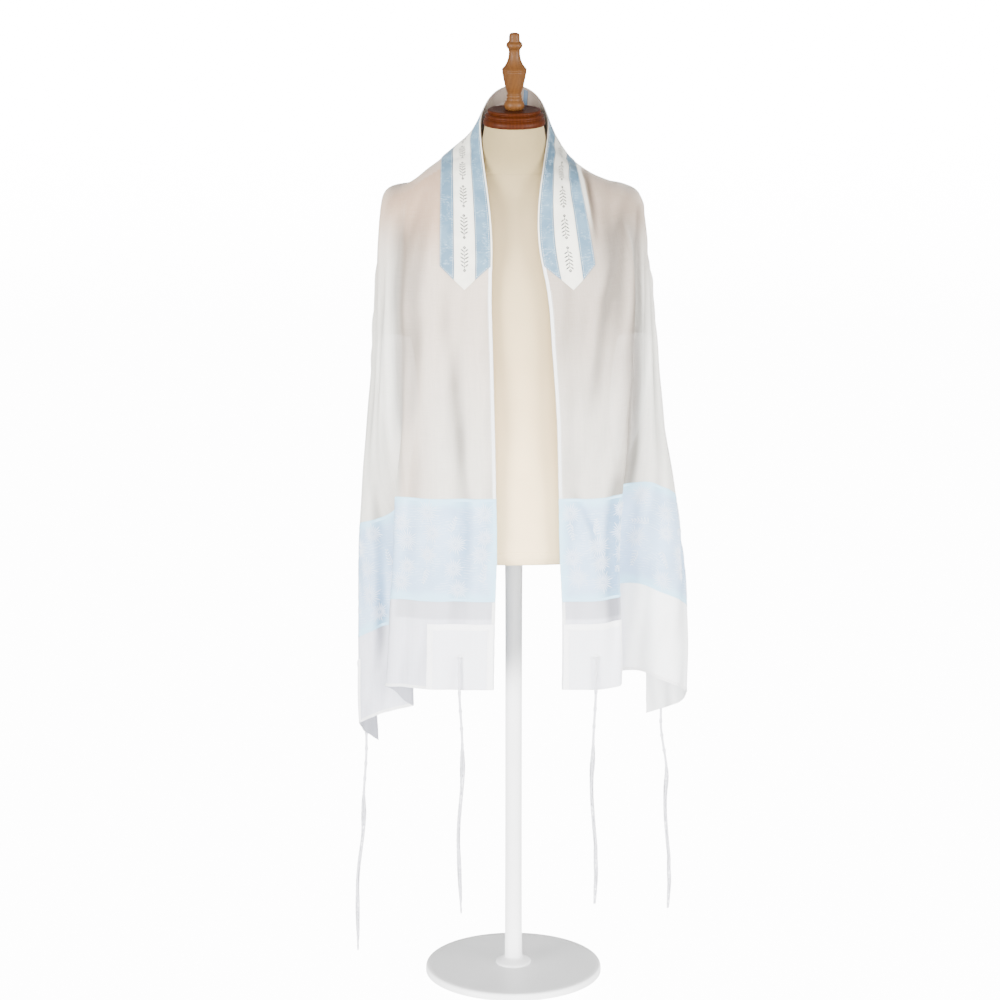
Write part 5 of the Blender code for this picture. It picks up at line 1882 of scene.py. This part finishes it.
def turned(name: str, profile: Sequence[Row], seat: Row = (0.0, 0.0, 0.0), tilt: float = 0.0,
           sides: int = 96) -> Thing:
    """Turned piece: a profile with its corners rounded, carried round the axis.

    Each of two rounds of cuts keeps a quarter and three quarters of every
    straight piece.

    Args:
        name: object name.
        profile: radius and height in tenths of a millimetre, from top to bottom.
        seat: where its underside's middle sits.
        tilt: lean of the axis forwards, in radians.
        sides: points round it.

    Returns:
        A closed object with both poles capped.
    """
    outline = np.array(profile, float) / PROFILE_UNITS
    for _ in range(2):
        near, far = outline[:-1], outline[1:]
        cuts = np.stack([near * 0.75 + far * 0.25, near * 0.25 + far * 0.75], 1).reshape(-1, 2)
        outline = np.concatenate([outline[:1], cuts, outline[-1:]])
    angle = np.arange(sides) * TURN / sides
    radius, height = outline[:, :1], np.broadcast_to(outline[:, 1:], (len(outline), sides))
    rings = np.stack([radius * np.cos(angle), radius * np.sin(angle), height], -1)
    poles = [[0.0, 0.0, z] for z in outline[[0, -1], 1]]
    points, quads, fans, uv = skin(rings, angle * 0.03, passed(outline)[:, None], poles)
    cos, sin = math.cos(tilt), math.sin(tilt)
    lean = np.array([[1, 0, 0], [0, cos, -sin], [0, sin, cos]])
    return skinned(name, (points @ lean.T + np.array(seat), quads, fans, uv))


@dataclass
class Torso:
    """Limbless bust covered in linen, with seams as fine grooves."""

    palette: Palette
    piece: Thing = field(init=False)
    sides: int = 144
    seams: Row = (1.360, 0.752)      # heights of the neck's and the hem's
    seam_depth: float = 0.0008
    seam_width: float = 0.0011

    def heights(self) -> Array:
        """Levels of the rings, close together at the seams and the rims.

        Returns:
            Heights, from the lowest.
        """
        near = [seam + np.linspace(-0.0035, 0.0035, 9) for seam in self.seams]
        rim = FORM_FOOT + np.array([0.0, 0.0005, 0.0015, 0.0025])
        plain = [np.linspace(0.734, 1.28, 62), np.linspace(1.285, NECK_TOP, 34)]
        return np.unique(np.concatenate([*plain, *near, rim]))

    def build(self) -> None:
        """Loft of superellipses; the grooves are bells in height and angle."""
        z = self.heights()[:, None]
        angle = (np.arange(self.sides) * TURN / self.sides)[None, :]
        cos, sin = np.cos(angle), np.sin(angle)
        wide, front, back, power = (FORM.read(name, z) for name in FORM.columns.split()[1:])
        groove = sum(bell(z - seam, self.seam_width) for seam in self.seams)
        side = bell(cos, 0.022) + bell(angle - np.pi, 0.02)
        inset = self.seam_depth * np.clip(groove + side, 0.0, 1.0)
        x = (wide - inset) * np.sign(sin) * np.abs(sin) ** (2 / power)
        y = (inset - np.where(cos > 0, front, back)) * np.sign(cos) * np.abs(cos) ** (2 / power)
        rings = np.stack([x, y, z + y * ease(TILT_FROM, NECK_TOP, z) * math.tan(NECK_TILT)], -1)
        poles = [[0.0, 0.0, ring[:, 2].mean()] for ring in rings[[0, -1]]]
        self.piece = skinned("torso_linen", skin(rings, angle * 0.16, z, poles, True))

    def dress(self) -> None:
        """Finish the torso."""
        self.palette.put(self.piece, "linen", "form_linen", "dress_form_torso")


@dataclass
class Turnery:
    """Neck cap and finial, square to the leaning neck, and the stand's plate and pole."""

    palette: Palette
    parts: tuple[tuple[Thing, str, str, str], ...] = ()
    tilt: float = NECK_TILT
    gap: float = 0.0003

    def build(self) -> None:
        """Turn every piece, and note its finish, slot and node."""
        seat, rise = NECK_TOP + self.gap, CAP_PROFILE[0][1] / PROFILE_UNITS + self.gap
        foot = (0.0, -rise * math.sin(self.tilt), seat + rise * math.cos(self.tilt))
        cap = turned("cap_turned", CAP_PROFILE, (0.0, 0.0, seat), self.tilt)
        finial = turned("finial_turned", FINIAL_PROFILE, foot, self.tilt)
        base = turned("base_plate", BASE_PROFILE, sides=128)
        pole = turned("pole", POLE_PROFILE, sides=64)
        self.parts = (
            (cap, "cap", "cap_wood", "neck_cap"), (finial, "finial", "finial_wood", "finial"),
            (base, "stand", "stand_metal", "stand_base"),
            (pole, "stand", "stand_metal", "stand_pole"))

    def dress(self) -> None:
        """Varnish the wood and paint the metal."""
        for part in self.parts:
            self.palette.put(*part)


# ---------------------------------------------------------------------- studio
@dataclass
class Studio:
    """Camera, soft lights and a pale floor."""

    palette: Palette
    eye: Row = (-0.023, -4.2, 1.598)
    aim_z: float = 0.819
    lens: float = 92.6
    sensor: float = 36.0
    reach: float = 14.0
    sweep: float = 4.0
    wall: float = 6.0
    sides: int = 96
    drop: float = 0.0005               # the floor lies this far under the stand
    sky: float = 0.85
    LIGHTS = {       # place, width in degrees, strength
        "key": ((-3.0, -2.7, 1.00), 30.0, 11.0), "fill": ((3.4, -2.3, 0.90), 34.0, 10.0),
        "front": ((0.3, -4.0, 0.80), 50.0, 4.2), "rim": ((1.2, 3.0, 1.05), 40.0, 4.6),
    }

    def build(self) -> None:
        """Set up everything that isn't the object."""
        scene = bpy.context.scene
        camera = bpy.data.objects.new("camera", bpy.data.cameras.new("camera"))
        camera.data.lens, camera.data.sensor_width = self.lens, self.sensor
        camera.data.clip_end = 50.0
        camera.location = self.eye
        pitch = math.atan2(self.eye[2] - self.aim_z, -self.eye[1])
        camera.rotation_euler = (math.pi / 2 - pitch, 0.0, 0.0)
        scene.collection.objects.link(camera)
        scene.camera = camera
        floor = self.backdrop()
        self.palette.put(floor, "floor")
        floor.visible_diffuse = floor.visible_glossy = floor.visible_shadow = False
        lights = [self.light(name, *light) for name, light in self.LIGHTS.items()]
        lights[-1].visible_glossy = False
        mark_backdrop(floor, camera, *lights)
        world = scene.world = scene.world or bpy.data.worlds.new("studio")
        world.use_nodes = True
        sky = world.node_tree.nodes["Background"]
        sky.inputs["Color"].default_value = (1.0, 1.0, 1.0, 1.0)
        sky.inputs["Strength"].default_value = self.sky

    def backdrop(self) -> Thing:
        """Pale floor that sweeps up by a quarter circle into a low round wall, far off.

        Returns:
            The floor.
        """
        rise, flat = np.linspace(0.0, math.pi / 2, 24), self.reach - self.sweep
        sweep = flat + self.sweep * np.sin(rise)
        radius = np.concatenate([np.linspace(0.02, flat, 12)[:-1], sweep, [self.reach]])[:, None]
        height = np.concatenate([np.zeros(11), self.sweep * (1 - np.cos(rise)), [self.wall]])
        angle = np.arange(self.sides) * TURN / self.sides
        x, y = radius * np.cos(angle), radius * np.sin(angle)
        rings = np.stack([x, y, np.broadcast_to(height[:, None] - self.drop, x.shape)], -1)
        return skinned("floor", skin(rings, angle, radius, [[0.0, 0.0, -self.drop]]))

    @staticmethod
    def light(name: str, place: Row, width: float, strength: float) -> Thing:
        """A wide, distant soft light that looks at the shawl.

        Args:
            name: object name.
            place: where it looks from.
            width: its angle in degrees.
            strength: its power.

        Returns:
            The lamp.
        """
        lamp = bpy.data.lights.new(name, "SUN")
        lamp.angle, lamp.energy = math.radians(width), strength
        made = bpy.data.objects.new(name, lamp)
        made.location = place
        aim = Vector((0.0, 0.0, 0.95)) - Vector(place)
        made.rotation_euler = aim.to_track_quat("-Z", "Y").to_euler()
        bpy.context.scene.collection.objects.link(made)
        return made


def main() -> None:
    """Build and dress every piece in order, and report it."""
    logging.basicConfig(level=logging.INFO, format="%(name)s: %(message)s")
    palette = Palette()
    torso = Torso(palette)
    torso.build()
    torso.dress()
    shawl = Shawl(palette, torso.piece)
    shawl.build()
    shawl.dress()
    ends = {side: EndSection(side, palette, shawl) for side in Side}
    for end in ends.values():
        end.build()
        end.dress()
    tassels = [Tassel(plan, palette, ends[plan.side].end) for plan in TASSELS]
    for part in (NeckBand(palette, shawl), *tassels, Turnery(palette)):
        part.build()
        part.dress()
    Studio(palette).build()
    for thing in bpy.context.scene.objects:
        if thing.type == "MESH" and "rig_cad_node" not in thing and not thing.get("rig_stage"):
            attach(thing, "root")
            log.info("%s: %d faces", thing.name, len(thing.data.polygons))


if __name__ == "__main__":
    main()
